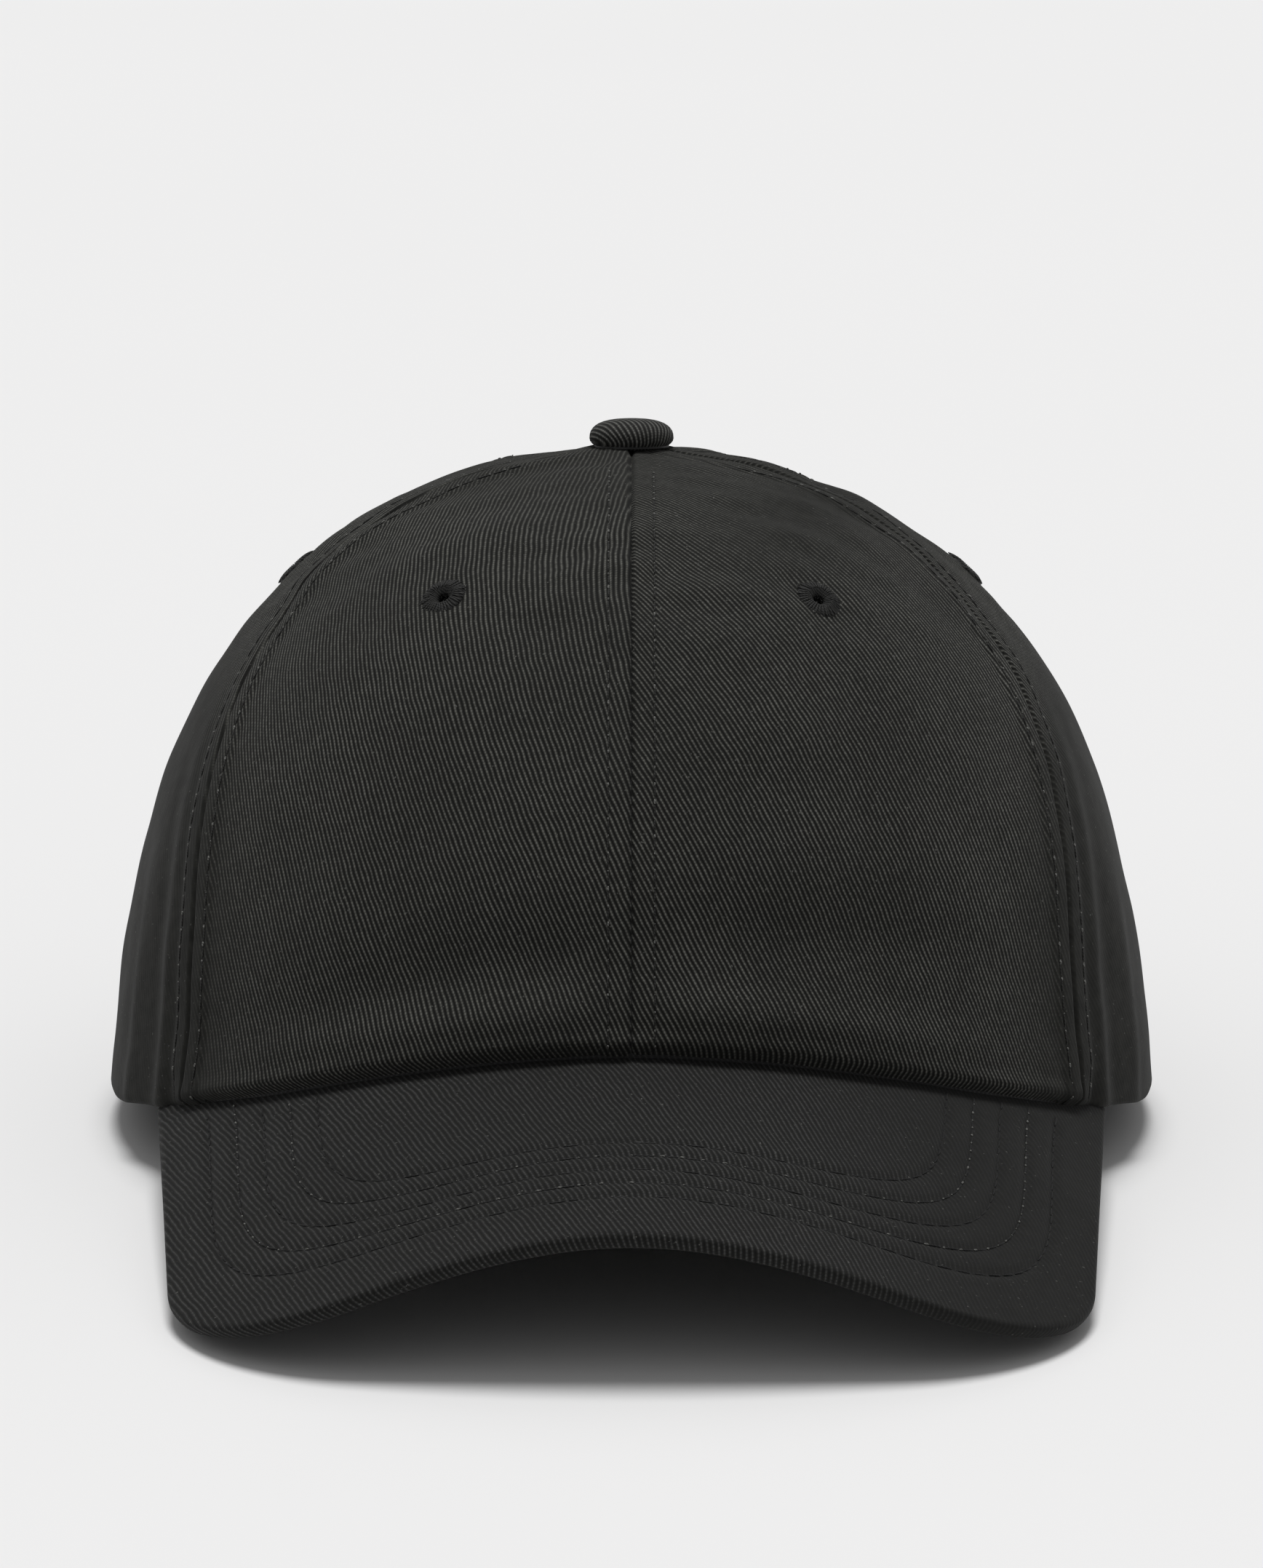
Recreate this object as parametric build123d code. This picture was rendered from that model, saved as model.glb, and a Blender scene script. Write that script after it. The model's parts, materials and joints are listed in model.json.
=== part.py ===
from build123d import *
import os
from math import asin, atan2, cos, degrees, hypot, pi, radians, sin, sqrt, tan

os.makedirs("parts", exist_ok=True)

# A soft six-panel baseball cap with a curved brim and a strap closure at the rear.
# It is drawn in the head's own frame, with the crown's axis upright: X to the wearer's
# left, -Y forward, Z up from the rim. At the end everything is tipped back by REST_TILT,
# as the cap sits on a table, and moved so that the origin is under its middle.
# Azimuths are in degrees from the front centre. Depths are inward from the outer cloth.

# Crown
HALF_WIDTH = 93.0
FRONT_LENGTH = 95.0
REAR_LENGTH = 97.0
CROWN_HEIGHT = 107.9
DOME_POWER = 2.262
DOME_TAPER = 0.027
CLOTH = 0.7
APEX_HOLE = 2.6
SEAM_GAP = 0.1
FRONT_SEAM_AT_RIM = 56.5
FRONT_SEAM_SWEEP = 22.0
FRONT_SEAM_RETURN = 10.0
REAR_SEAM = 122.0
REST_TILT = 6.88

# Brim
BRIM_REACH = 163.5
BRIM_END_X = 82.9
BRIM_SIDE_SLANT = 0.078
BRIM_FRONT_RADIUS = 298.0
BRIM_CORNER_RADIUS = 28.0
BRIM_RISE = 12.4
BRIM_SLOPE = 13.8
BRIM_JOINT_RADIUS = 122.0
BRIM_NOSE_RADIUS = 71.5
BRIM_FLARE = 46.1
COVER = 0.6
BOARD = 1.3
LAYER_GAP = 0.1
BOARD_INSET = 1.1
CORNER_BACK = 9.0
BRIM_PATCH_X = 90.0
BRIM_PATCH_Y = (-172.0, -26.0)
BRIM_TUCK = 0.75
BRIM_CLEARANCE = 0.6

# Layers inside the crown, as depths
TAPE = (0.85, 1.25)
TAPE_HALF_WIDTH = 6.0
TAPE_END_ANGLE = 24.0
TAPE_END_RADIUS = 6.5
INTERLINING = (1.5, 4.1)
FACING = (4.3, 4.9)
LABEL = (5.0, 5.25)
BAND_HEIGHT = 31.0
FACING_END = 149.0
INTERLINING_END = 114.0
LABEL_AZIMUTH = 131.0
LABEL_SPAN = 12.0
LABEL_LOW = 6.0
LABEL_HEIGHT = 18.0
BRIM_THICKNESS = 2 * COVER + BOARD + 2 * LAYER_GAP

# Eyelets
EYELET_HEIGHT = 87.0
EYELET_RADIUS = 4.4
EYELET_HOLE = 1.3
PUNCHED_HOLE = 1.7
EYELET_AZIMUTHS = {"front": 32.5, "side": 96.0, "rear": 151.0}

# Button
BUTTON_RADIUS = 7.5
BUTTON_HEIGHT = 5.9
BUTTON_LIFT = 0.1
BUTTON_TUCK = 1.4
BUTTON_BASE = CROWN_HEIGHT + BUTTON_LIFT + BUTTON_TUCK
SHELL_WALL = 0.5
TACK_RADIUS = 1.2
TACK_HEAD = 5.0
TUBE_RADIUS = 2.0
WASHER_RADIUS = 5.6

# Rear opening and closure
OPENING_HALF_WIDTH = 44.0
OPENING_HEIGHT = 47.0
OPENING_CUT_Y = 50.0
BINDING_WIDTH = 5.0
BINDING_CLOTH = 0.5
STRAP_CENTRE_Y = 6.0
STRAP_Z = (3.0, 23.0)
STRAP_DEPTHS = (2.6, 3.8)
STRAP_ANGLES = (-52.0, 48.0)
TAB_DEPTHS = (1.6, 2.3)
TAB_Z = (3.7, 22.3)
TAB_END_ANGLE = 44.0
CLASP_ANGLE = 10.0
CLASP_HALF_WIDTH = 10.6
CLASP_WALL = 0.9
CLASP_LEFT = -12.5
PIN_T = 8.5
PIN_H = 2.2
PIN_RADIUS = 0.8
PIN_FIT = 0.05
PIN_HEAD = 1.25
KNUCKLE_RADIUS = 1.6
LEVER_PLATE = 0.9
LEVER_SIDE_GAP = 0.35
PLATE_LOW = -2.85
PLATE_HIGH = -2.05
BAR_T = 14.2
BAR_RADIUS = 0.7
LOOP_RADIUS = 1.4


# ---- the crown's surface ----------------------------------------------------------------

def dome_radius(t):
    """Share of the rim's size at height share t."""
    dome = (1 - max(t, 0.0) ** DOME_POWER) ** (1 / DOME_POWER)
    return dome * (1 - DOME_TAPER * sin(pi * t))


def crown_point(azimuth, z, depth=0.0):
    """Point on the crown, moved inward along the cloth's normal by depth."""
    t = z / CROWN_HEIGHT
    a = radians(azimuth)
    length = FRONT_LENGTH if cos(a) > 0 else REAR_LENGTH
    r = dome_radius(t)
    x, y = HALF_WIDTH * sin(a) * r, -length * cos(a) * r
    step = 1e-5
    slope = (dome_radius(t + step / 2) - dome_radius(t - step / 2)) / step
    normal = Vector(x / HALF_WIDTH ** 2, y / length ** 2, -r * slope / CROWN_HEIGHT)
    return Vector(x, y, z) - normal.normalized() * depth


def brim_height(x, y):
    """Height of the brim's upper face over the plan: flatter at the crown, rounder in front."""
    nose = min(max((-FRONT_LENGTH - y) / (BRIM_REACH - FRONT_LENGTH), 0.0), 1.0)
    joint_sag = x * x / (2 * BRIM_JOINT_RADIUS)
    nose_sag = BRIM_FLARE ** 2 / BRIM_NOSE_RADIUS * (sqrt(1 + (x / BRIM_FLARE) ** 2) - 1)
    sag = joint_sag * (1 - nose) + nose_sag * nose
    return BRIM_RISE + tan(radians(BRIM_SLOPE)) * (y + FRONT_LENGTH) - sag


def smooth(s):
    s = min(max(s, 0.0), 1.0)
    return s * s * (3 - 2 * s)


BRIM_END_AZIMUTH = degrees(asin(BRIM_END_X / HALF_WIDTH))


def rim_height(azimuth):
    """Lower edge of the cloth: on the brim in front, then easing up to the level rim."""
    turn = abs(azimuth)
    over_brim = radians(min(turn, BRIM_END_AZIMUTH))
    z = 0.0
    for _ in range(3):
        r = dome_radius(z / CROWN_HEIGHT)
        z = brim_height(HALF_WIDTH * r * sin(over_brim), -FRONT_LENGTH * r * cos(over_brim))
    return (z + BRIM_CLEARANCE) * (1 - smooth((turn - 56) / 28))


def front_seam(t):
    return FRONT_SEAM_AT_RIM + FRONT_SEAM_SWEEP * max(t, 0) ** 2 - FRONT_SEAM_RETURN * max(t, 0) ** 12


def rear_seam(t):
    return REAR_SEAM + 2 * t


def climb(v, start, top):
    """Height share at step v of the way from the rim, evenly spaced over the dome."""
    last = pi / 2 if top >= 1 else asin(top ** (DOME_POWER / 2))
    return sin(v * last) ** (2 / DOME_POWER) + start * (1 - v) ** 3


def sheet(point, depths, nu, nv):
    """Closed solid between two depths of one four-sided patch; point(u, v, depth)."""
    faces = []
    for depth in depths:
        grid = [[point(i / (nu - 1), j / (nv - 1), depth) for j in range(nv)] for i in range(nu)]
        faces.append(Face.make_surface_from_array_of_points(grid, tol=0.01))
    sides = [Face.make_surface_from_curves(a, b) for a, b in zip(faces[0].edges(), faces[1].edges())]
    solid = Solid(Shell(faces + sides))
    return solid if solid.volume > 0 else Solid(solid.wrapped.Reversed())


def top_share(radius):
    """Height share where the dome has narrowed to a radius in millimetres."""
    return (1 - (radius / HALF_WIDTH) ** DOME_POWER) ** (1 / DOME_POWER)


# ---- crown cloth -----------------------------------------------------------------------

def eyelet_place(azimuth):
    """Plane on the outer cloth, its normal pointing out, at an eyelet."""
    origin = crown_point(azimuth, EYELET_HEIGHT)
    inner = crown_point(azimuth, EYELET_HEIGHT, 1.0)
    return Plane(origin=origin, z_dir=origin - inner)


def opening_cutter(grow=0.0):
    """Half-moon prism at the rear, through the cloth along Y."""
    half_moon = Ellipse(OPENING_HALF_WIDTH + grow, OPENING_HEIGHT + grow)
    return Pos(0, OPENING_CUT_Y, 0) * extrude(Plane.XZ * half_moon, amount=-60)


def panel(low, high, eyelet, arch=False):
    """One crown panel between two seams, given as azimuths that change with height."""
    top = top_share(APEX_HOLE)

    def point(u, v, depth):
        start = rim_height(low(0) + (high(0) - low(0)) * u) / CROWN_HEIGHT
        t = climb(v, start, top)
        gap = degrees(asin(SEAM_GAP / (HALF_WIDTH * dome_radius(t))))
        a, b = low(t) + gap, high(t) - gap
        return crown_point(a + (b - a) * u, t * CROWN_HEIGHT, depth)

    cloth = sheet(point, (0.0, CLOTH), 19, 25)
    cloth -= eyelet_place(eyelet) * Cylinder(PUNCHED_HOLE, 6)
    if arch:
        cloth -= opening_cutter()
    return cloth


def eyelet(azimuth):
    """Embroidered ring wrapped round the punched hole, outside and inside the cloth."""
    inner_face = -CLOTH - 0.25
    outer = [(EYELET_HOLE, 0.45), (2.2, 0.85), (3.6, 0.75), (EYELET_RADIUS, 0.05)]
    inner = [(EYELET_RADIUS - 0.6, inner_face), (3.2, inner_face - 0.5), (2.0, inner_face - 0.55),
             (EYELET_HOLE, inner_face - 0.2)]
    neck = PUNCHED_HOLE - 0.15
    outline = outer + [(neck, 0.05), (neck, inner_face)] + inner
    ring = revolve(make_face(Plane.XZ * Polyline(*outline, close=True)), Axis.Z)
    return eyelet_place(azimuth) * ring


def seam_tape(seam, side, low_z=None):
    """Tape over a seam's raw edges, narrowing where the six tapes meet at the top."""
    low_share = (rim_height(seam(0)) + 2 if low_z is None else low_z) / CROWN_HEIGHT
    top = top_share(TAPE_END_RADIUS)

    def point(u, v, depth):
        t = climb(v, low_share, top)
        spread = min(degrees(TAPE_HALF_WIDTH / (HALF_WIDTH * dome_radius(t))), TAPE_END_ANGLE)
        return crown_point(side * seam(t) + spread * (2 * u - 1), t * CROWN_HEIGHT, depth)

    return sheet(point, TAPE, 7, 25)


# ---- sweatband -------------------------------------------------------------------------

def band(depths, azimuth, low, high):
    """Strip round the inside of the rim. In front it goes on down behind the brim's edge."""
    def point(u, v, depth):
        a = azimuth * (2 * u - 1)
        under_brim = BRIM_THICKNESS * (1 - smooth((abs(a) - 50) / 20))
        bottom = rim_height(a) + low - under_brim
        top = high + 0.45 * rim_height(a)
        return crown_point(a, bottom + (top - bottom) * v, depth)

    return sheet(point, depths, 61, 7)


def care_label():
    """Small blank label on the sweatband's face, near its end on the wearer's left."""
    def point(u, v, depth):
        return crown_point(LABEL_AZIMUTH + LABEL_SPAN * u, LABEL_LOW + LABEL_HEIGHT * v, depth)

    return sheet(point, LABEL, 4, 4)


# ---- brim ------------------------------------------------------------------------------

def brim_layer(upper, lower, inset):
    """Layer of the brim between two depths below its upper face, inset from its outline."""
    def point(u, v, depth):
        x = BRIM_PATCH_X * (2 * u - 1)
        y = BRIM_PATCH_Y[0] + (BRIM_PATCH_Y[1] - BRIM_PATCH_Y[0]) * v
        step = 0.01
        across = (brim_height(x + step, y) - brim_height(x - step, y)) / (2 * step)
        forward = (brim_height(x, y + step) - brim_height(x, y - step)) / (2 * step)
        normal = Vector(-across, -forward, 1).normalized()
        return Vector(x, y, brim_height(x, y)) - normal * depth

    return sheet(point, (upper, lower), 25, 15) & brim_outline(inset)


def brim_outline(inset):
    """Prism over the brim's plan: curved rear edge under the crown, long nose, round corners."""
    ends = BRIM_END_AZIMUTH
    rear = []
    for i in range(25):
        azimuth = -ends + 2 * ends * i / 24
        p = crown_point(azimuth, rim_height(azimuth), BRIM_TUCK)
        rear.append((p.X, p.Y))
    reach = BRIM_REACH - inset
    corner_y = reach - CORNER_BACK
    corner_x = BRIM_END_X - inset - BRIM_SIDE_SLANT * (corner_y + rear[0][1])
    drop = BRIM_FRONT_RADIUS - sqrt(BRIM_FRONT_RADIUS ** 2 - corner_x ** 2)
    front = ThreePointArc((-corner_x, drop - reach), (0, -reach), (corner_x, drop - reach))
    back = Spline(*rear)
    left = Line(front @ 0, back @ 0)
    right = Line(front @ 1, back @ 1)
    plan = make_face([front, left, right, back])
    corners = plan.vertices().sort_by(Axis.Y)[:2]
    plan = fillet(corners, BRIM_CORNER_RADIUS - inset)
    return Pos(0, 0, -80) * extrude(plan, amount=120)


def brim_board():
    top = COVER + LAYER_GAP
    return brim_layer(top, top + BOARD, BOARD_INSET + LAYER_GAP)


def brim_cover(upper):
    """Cloth cover over one face of the board, turned over its edge to the middle."""
    middle = BRIM_THICKNESS / 2
    if upper:
        return brim_layer(0, middle - LAYER_GAP / 2, 0) - brim_layer(COVER, middle + 1, BOARD_INSET)
    whole = brim_layer(middle + LAYER_GAP / 2, BRIM_THICKNESS, 0)
    return whole - brim_layer(middle - 1, BRIM_THICKNESS - COVER, BOARD_INSET)


# ---- button ----------------------------------------------------------------------------

def dome(radius, height, wall, base):
    """Hollow dome on Z, open below."""
    def half_section(shrink):
        turns = [radians(10 * i) for i in range(10)]
        rim = [((radius - shrink) * cos(a), base + (height - shrink) * sin(a)) for a in turns]
        arc = Spline(*rim, tangents=[(0, 1), (-1, 0)])
        return make_face([arc, Line(arc @ 1, (0, base)), Line((0, base), arc @ 0)])

    return turned(half_section(0)) - turned(half_section(wall))


def turned(face):
    return revolve(Plane.XZ * face, Axis.Z)


def button_cover():
    """Twill pulled over the shell and tucked in under its edge."""
    top = dome(BUTTON_RADIUS, BUTTON_HEIGHT - BUTTON_TUCK, CLOTH, BUTTON_BASE)
    inner, mouth = BUTTON_RADIUS - CLOTH, 5.0
    tuck = Polyline((BUTTON_RADIUS, BUTTON_BASE), (BUTTON_RADIUS - 0.5, BUTTON_BASE - 1.1),
                    (mouth, BUTTON_BASE - 1.3), (mouth, BUTTON_BASE - 0.8),
                    (inner - 0.3, BUTTON_BASE - 0.6), (inner, BUTTON_BASE), close=True)
    return top + turned(make_face(tuck))


def button_shell():
    gap = CLOTH + LAYER_GAP
    return dome(BUTTON_RADIUS - gap, BUTTON_HEIGHT - BUTTON_TUCK - gap, SHELL_WALL, BUTTON_BASE)


def ring(radius, low, high, bore=0.0):
    """Disc or washer on the crown's axis, between two heights above the crown's top."""
    place = Pos(0, 0, CROWN_HEIGHT + (low + high) / 2)
    disc = place * Cylinder(radius, high - low)
    return disc - place * Cylinder(bore, 2 * (high - low)) if bore else disc


def button_back():
    """Disc inside the shell's mouth, with the tube that takes the tack."""
    back = ring(WASHER_RADIUS, 1.55, 2.05) + ring(TUBE_RADIUS, 0.1, 2.8)
    return back - ring(TACK_RADIUS + PIN_FIT, -0.8, 3.2)


def button_tack():
    head = ring(TACK_HEAD, -3.0, -2.4)
    return fillet(head.edges().filter_by(GeomType.CIRCLE), 0.25) + ring(TACK_RADIUS, -2.5, 1.9)


def button_washer():
    return ring(WASHER_RADIUS, -2.3, -1.9, TACK_RADIUS + 0.2)


# ---- rear opening and closure ----------------------------------------------------------

def opening_binding():
    """Cloth tape folded over the half-moon's edge, outside and inside."""
    def rear_sheet(depths):
        def point(u, v, depth):
            return crown_point(180 + 37 * (2 * u - 1), 0.3 + 60 * v, depth)

        return sheet(point, depths, 19, 11)

    fold = rear_sheet((-BINDING_CLOTH - LAYER_GAP, CLOTH + LAYER_GAP + BINDING_CLOTH))
    fold &= opening_cutter(BINDING_WIDTH)
    fold -= opening_cutter(-BINDING_CLOTH - LAYER_GAP)
    keep_out = rear_sheet((-LAYER_GAP, CLOTH + LAYER_GAP)) - opening_cutter(-LAYER_GAP)
    return fold - keep_out


def strap_radius(z):
    """Outer cloth's distance from the strap's own centre line, at the rear."""
    return crown_point(180, z).Y - STRAP_CENTRE_Y


def cone_strip(depths, z_range, angles):
    """Strip bent round the rear. Angles are from the rear centre, towards +X."""
    low, high = (strap_radius(z) for z in z_range)
    outline = [(low - depths[0], z_range[0]), (high - depths[0], z_range[1]),
               (high - depths[1], z_range[1]), (low - depths[1], z_range[0])]
    section = make_face(Plane.XZ * Polyline(*outline, close=True))
    strip = revolve(section, Axis.Z, revolution_arc=angles[1] - angles[0])
    return Pos(0, STRAP_CENTRE_Y, 0) * (Rot(0, 0, 90 - angles[1]) * strip)


def clasp_plane():
    """Clasp's own frame: X along the strap to the wearer's left, Y up it, Z outward."""
    middle = (STRAP_Z[0] + STRAP_Z[1]) / 2
    half = (STRAP_Z[1] - STRAP_Z[0]) / 2
    lean = atan2(strap_radius(middle - half) - strap_radius(middle + half), 2 * half)
    a = radians(CLASP_ANGLE)
    radius = strap_radius(middle) - sum(STRAP_DEPTHS) / 2
    out = Vector(sin(a) * cos(lean), cos(a) * cos(lean), sin(lean))
    along = Vector(-cos(a), sin(a), 0)
    origin = Vector(radius * sin(a), STRAP_CENTRE_Y + radius * cos(a), middle)
    return Plane(origin=origin, x_dir=-1 * along, z_dir=out)


def crossbar(t, h, radius, half_length):
    """Round bar across the clasp, along its Y."""
    return Pos(t, 0, h) * (Rot(90, 0, 0) * Cylinder(radius, 2 * half_length))


def bar_height():
    """Height of the tab's bar over the clasp's own frame."""
    middle = (STRAP_Z[0] + STRAP_Z[1]) / 2
    radius = strap_radius(middle) - TAB_DEPTHS[1] + LOOP_RADIUS
    return sqrt(radius ** 2 - BAR_T ** 2) - (strap_radius(middle) - sum(STRAP_DEPTHS) / 2)


def clasp_frame():
    """Back plate behind the strap, two cheeks beside it and a bar for the tab."""
    outer = CLASP_HALF_WIDTH + CLASP_WALL
    plate_place = Pos(-0.25, 0, (PLATE_LOW + PLATE_HIGH) / 2)
    plate = plate_place * Box(24.5, 2 * outer, PLATE_HIGH - PLATE_LOW)
    plate -= plate_place * Box(16, 14, 2)
    plate = fillet(plate.edges().filter_by(Axis.Z), 1.5)
    bar_h = bar_height()
    profile = Polyline((-9.0, PLATE_LOW), (13.0, PLATE_LOW), (15.6, bar_h), (12.5, bar_h + KNUCKLE_RADIUS),
                       (PIN_T, PIN_H + KNUCKLE_RADIUS), (4.5, PIN_H + 0.2), (-9.0, -0.8), close=True)
    cheek = extrude(make_face(Plane.XZ * profile), amount=CLASP_WALL / 2, both=True)
    cheek = fillet(cheek.edges().filter_by(Axis.Y), 0.7)
    frame = plate + crossbar(BAR_T, bar_h, BAR_RADIUS, outer)
    for side in (-1, 1):
        frame += Pos(0, side * (CLASP_HALF_WIDTH + CLASP_WALL / 2), 0) * cheek
    return frame - crossbar(PIN_T, PIN_H, PIN_RADIUS + PIN_FIT, outer + 1)


def clasp_pin():
    """Pin through cheeks and lever, with a low head at each end."""
    end = CLASP_HALF_WIDTH + CLASP_WALL + 0.35
    pin = crossbar(PIN_T, PIN_H, PIN_RADIUS, end)
    for side in (-1, 1):
        pin += Pos(PIN_T, side * end, PIN_H) * (Rot(90, 0, 0) * Cylinder(PIN_HEAD, 0.5))
    return pin


def clasp_lever():
    """Flat lever with a knuckle on the pin and a lip to lift it by."""
    half = CLASP_HALF_WIDTH - LEVER_SIDE_GAP
    length = PIN_T - CLASP_LEFT
    plate = Pos(PIN_T - length / 2, 0, PIN_H - 0.5) * Box(length, 2 * half, LEVER_PLATE)
    plate = fillet(plate.edges().filter_by(Axis.Z).sort_by(Axis.X)[:2], 4.0)
    plate = fillet(plate.faces().sort_by(Axis.Z)[-1].edges(), 0.35)
    lip = Pos(CLASP_LEFT + 0.9, 0, PIN_H + 0.1) * (Rot(90, 0, 0) * Cylinder(0.8, 9))
    knuckle = crossbar(PIN_T, PIN_H, KNUCKLE_RADIUS, half)
    return plate + lip + knuckle - crossbar(PIN_T, PIN_H, PIN_RADIUS + PIN_FIT, half + 1)


def clasp_tab():
    """Cloth loop round the clasp's bar, its tail sewn under the rear panel."""
    middle = (STRAP_Z[0] + STRAP_Z[1]) / 2
    radius = strap_radius(middle) - TAB_DEPTHS[1]
    start = CLASP_ANGLE + degrees(asin(BAR_T / radius))
    strip = cone_strip(TAB_DEPTHS, TAB_Z, (start, TAB_END_ANGLE))
    loop = clasp_plane().location * crossbar(BAR_T, bar_height(), LOOP_RADIUS, 9.3)
    hole = clasp_plane().location * crossbar(BAR_T, bar_height(), BAR_RADIUS + PIN_FIT, 12)
    return strip + loop - hole


# ---- assembly --------------------------------------------------------------------------

def all_parts():
    parts = {}
    for side, word in ((-1, "right"), (1, "left")):
        front = panel(lambda t: 0.0, front_seam, EYELET_AZIMUTHS["front"])
        middle = panel(front_seam, rear_seam, EYELET_AZIMUTHS["side"])
        rear = panel(rear_seam, lambda t: 180.0, EYELET_AZIMUTHS["rear"], arch=True)
        for name, cloth in (("front", front), ("side", middle), ("rear", rear)):
            parts[f"panel_{name}_{word}"] = cloth if side > 0 else mirror(cloth, Plane.YZ)
            parts[f"eyelet_{name}_{word}"] = eyelet(side * EYELET_AZIMUTHS[name])
        parts[f"seam_tape_front_{word}"] = seam_tape(front_seam, side)
        parts[f"seam_tape_rear_{word}"] = seam_tape(rear_seam, side)
    parts["seam_tape_front_centre"] = seam_tape(lambda t: 0.0, 1)
    parts["seam_tape_rear_centre"] = seam_tape(lambda t: 180.0, 1, OPENING_HEIGHT + BINDING_WIDTH + 1)
    parts["button_cover"] = button_cover()
    parts["button_shell"] = button_shell()
    parts["button_back_plate"] = button_back()
    parts["button_tack"] = button_tack()
    parts["button_washer"] = button_washer()
    parts["brim_board"] = brim_board()
    parts["brim_upper_cover"] = brim_cover(True)
    parts["brim_under_cover"] = brim_cover(False)
    parts["sweatband_interlining"] = band(INTERLINING, INTERLINING_END, 1.5, BAND_HEIGHT - 2)
    parts["sweatband_facing"] = band(FACING, FACING_END, 0.6, BAND_HEIGHT)
    parts["care_label"] = care_label()
    parts["opening_binding"] = opening_binding()
    parts["strap"] = cone_strip(STRAP_DEPTHS, STRAP_Z, STRAP_ANGLES)
    parts["clasp_tab"] = clasp_tab()
    for name, build in (("clasp_frame", clasp_frame), ("clasp_pin", clasp_pin), ("clasp_lever", clasp_lever)):
        parts[name] = clasp_plane().location * build()
    return parts


def resting_place(parts):
    """Move that tips the cap onto its brim corners and rear rim, over the origin."""
    tilt = Rot(-REST_TILT, 0, 0)
    boxes = [(tilt * shape).bounding_box() for shape in parts.values()]
    low_y, high_y = min(b.min.Y for b in boxes), max(b.max.Y for b in boxes)
    return Pos(0, -(low_y + high_y) / 2, -min(b.min.Z for b in boxes)) * tilt


PARTS = all_parts()
PLACE = resting_place(PARTS)
for name, shape in PARTS.items():
    export_step(PLACE * shape, f"parts/{name}.step")
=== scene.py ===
import json
import math
import random

import bmesh
import bpy
from mathutils import Matrix, Vector, noise


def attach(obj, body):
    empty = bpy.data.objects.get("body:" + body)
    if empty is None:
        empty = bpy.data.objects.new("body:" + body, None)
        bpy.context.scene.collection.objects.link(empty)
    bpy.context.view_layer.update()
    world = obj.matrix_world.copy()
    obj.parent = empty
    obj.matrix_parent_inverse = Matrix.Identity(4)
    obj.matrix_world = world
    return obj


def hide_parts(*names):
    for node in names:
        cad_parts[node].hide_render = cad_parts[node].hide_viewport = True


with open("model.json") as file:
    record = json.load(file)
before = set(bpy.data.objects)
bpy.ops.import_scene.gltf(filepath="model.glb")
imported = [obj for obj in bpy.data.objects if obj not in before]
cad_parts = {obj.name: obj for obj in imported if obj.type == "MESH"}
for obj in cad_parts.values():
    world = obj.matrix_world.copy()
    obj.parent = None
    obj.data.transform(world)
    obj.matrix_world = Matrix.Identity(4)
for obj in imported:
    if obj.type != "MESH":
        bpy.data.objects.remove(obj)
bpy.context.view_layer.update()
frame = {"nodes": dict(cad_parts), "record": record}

# ---- Table, light and camera ------------------------------------------------------------
# The cap stands on a plain pale table under one large soft light almost straight above it,
# with even light from all round. The camera looks at its front from a little over the brim.

mm = 0.001
TABLE_HALF_SIZE, TABLE_PAINT, TABLE_ROUGHNESS = 9, (0.83, 0.828, 0.828), 0.9
LIGHT_STRENGTH, LIGHT_SPREAD, LIGHT_LEAN = 2.2, math.radians(27), math.radians(-6)
ROOM_STRENGTH = 0.36
VIEW_AIM, VIEW_DISTANCE, VIEW_ELEVATION = Vector((0, 23.6 * mm, 62.5 * mm)), 1.4, math.radians(13.38)
LENS, SENSOR_WIDTH, VIEW_REACH = 181.8, 36, 50


def in_scene(name, data):
    """A new object of the scene, made from its data."""
    made = bpy.data.objects.new(name, data)
    bpy.context.scene.collection.objects.link(made)
    return made


def new_finish(name, sockets):
    """A new material with values set on its shader: the material, its tree and its shader."""
    material = bpy.data.materials.new(name)
    material.use_nodes = True
    shader = material.node_tree.nodes["Principled BSDF"]
    for socket, value in sockets.items():
        shader.inputs[socket].default_value = value
    return material, material.node_tree, shader


def soft_noise(tree, vector, scale, detail=2.0):
    """Noise over a vector, as a value that is mostly near a half."""
    node = tree.nodes.new("ShaderNodeTexNoise")
    node.inputs["Scale"].default_value = scale
    node.inputs["Detail"].default_value = detail
    tree.links.new(vector, node.inputs["Vector"])
    return node.outputs["Fac"]


def colour_between(tree, share, low, high):
    """Colour that goes from low to high as share goes from 0 to 1."""
    node = tree.nodes.new("ShaderNodeMix")
    node.data_type = "RGBA"
    node.inputs["A"].default_value = (*low, 1)
    node.inputs["B"].default_value = (*high, 1)
    tree.links.new(share, node.inputs["Factor"])
    return node.outputs["Result"]


def plain_finish(name, color, roughness):
    """One painted or moulded surface with a faint unevenness, as a table top has."""
    material, tree, shader = new_finish(name, {"Roughness": roughness, "Specular IOR Level": 0.2})
    place = tree.nodes.new("ShaderNodeTexCoord")
    cloud = soft_noise(tree, place.outputs["Object"], 3.0)
    dull = [c * 0.985 for c in color]
    tree.links.new(colour_between(tree, cloud, dull, color), shader.inputs["Base Color"])
    return material


table_mesh = bmesh.new()
bmesh.ops.create_grid(table_mesh, x_segments=1, y_segments=1, size=TABLE_HALF_SIZE)
table_data = bpy.data.meshes.new("table_top")
table_mesh.to_mesh(table_data)
table_mesh.free()
table_top = in_scene("table_top", table_data)
table_data.materials.append(plain_finish("table_paint", TABLE_PAINT, TABLE_ROUGHNESS))

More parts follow.
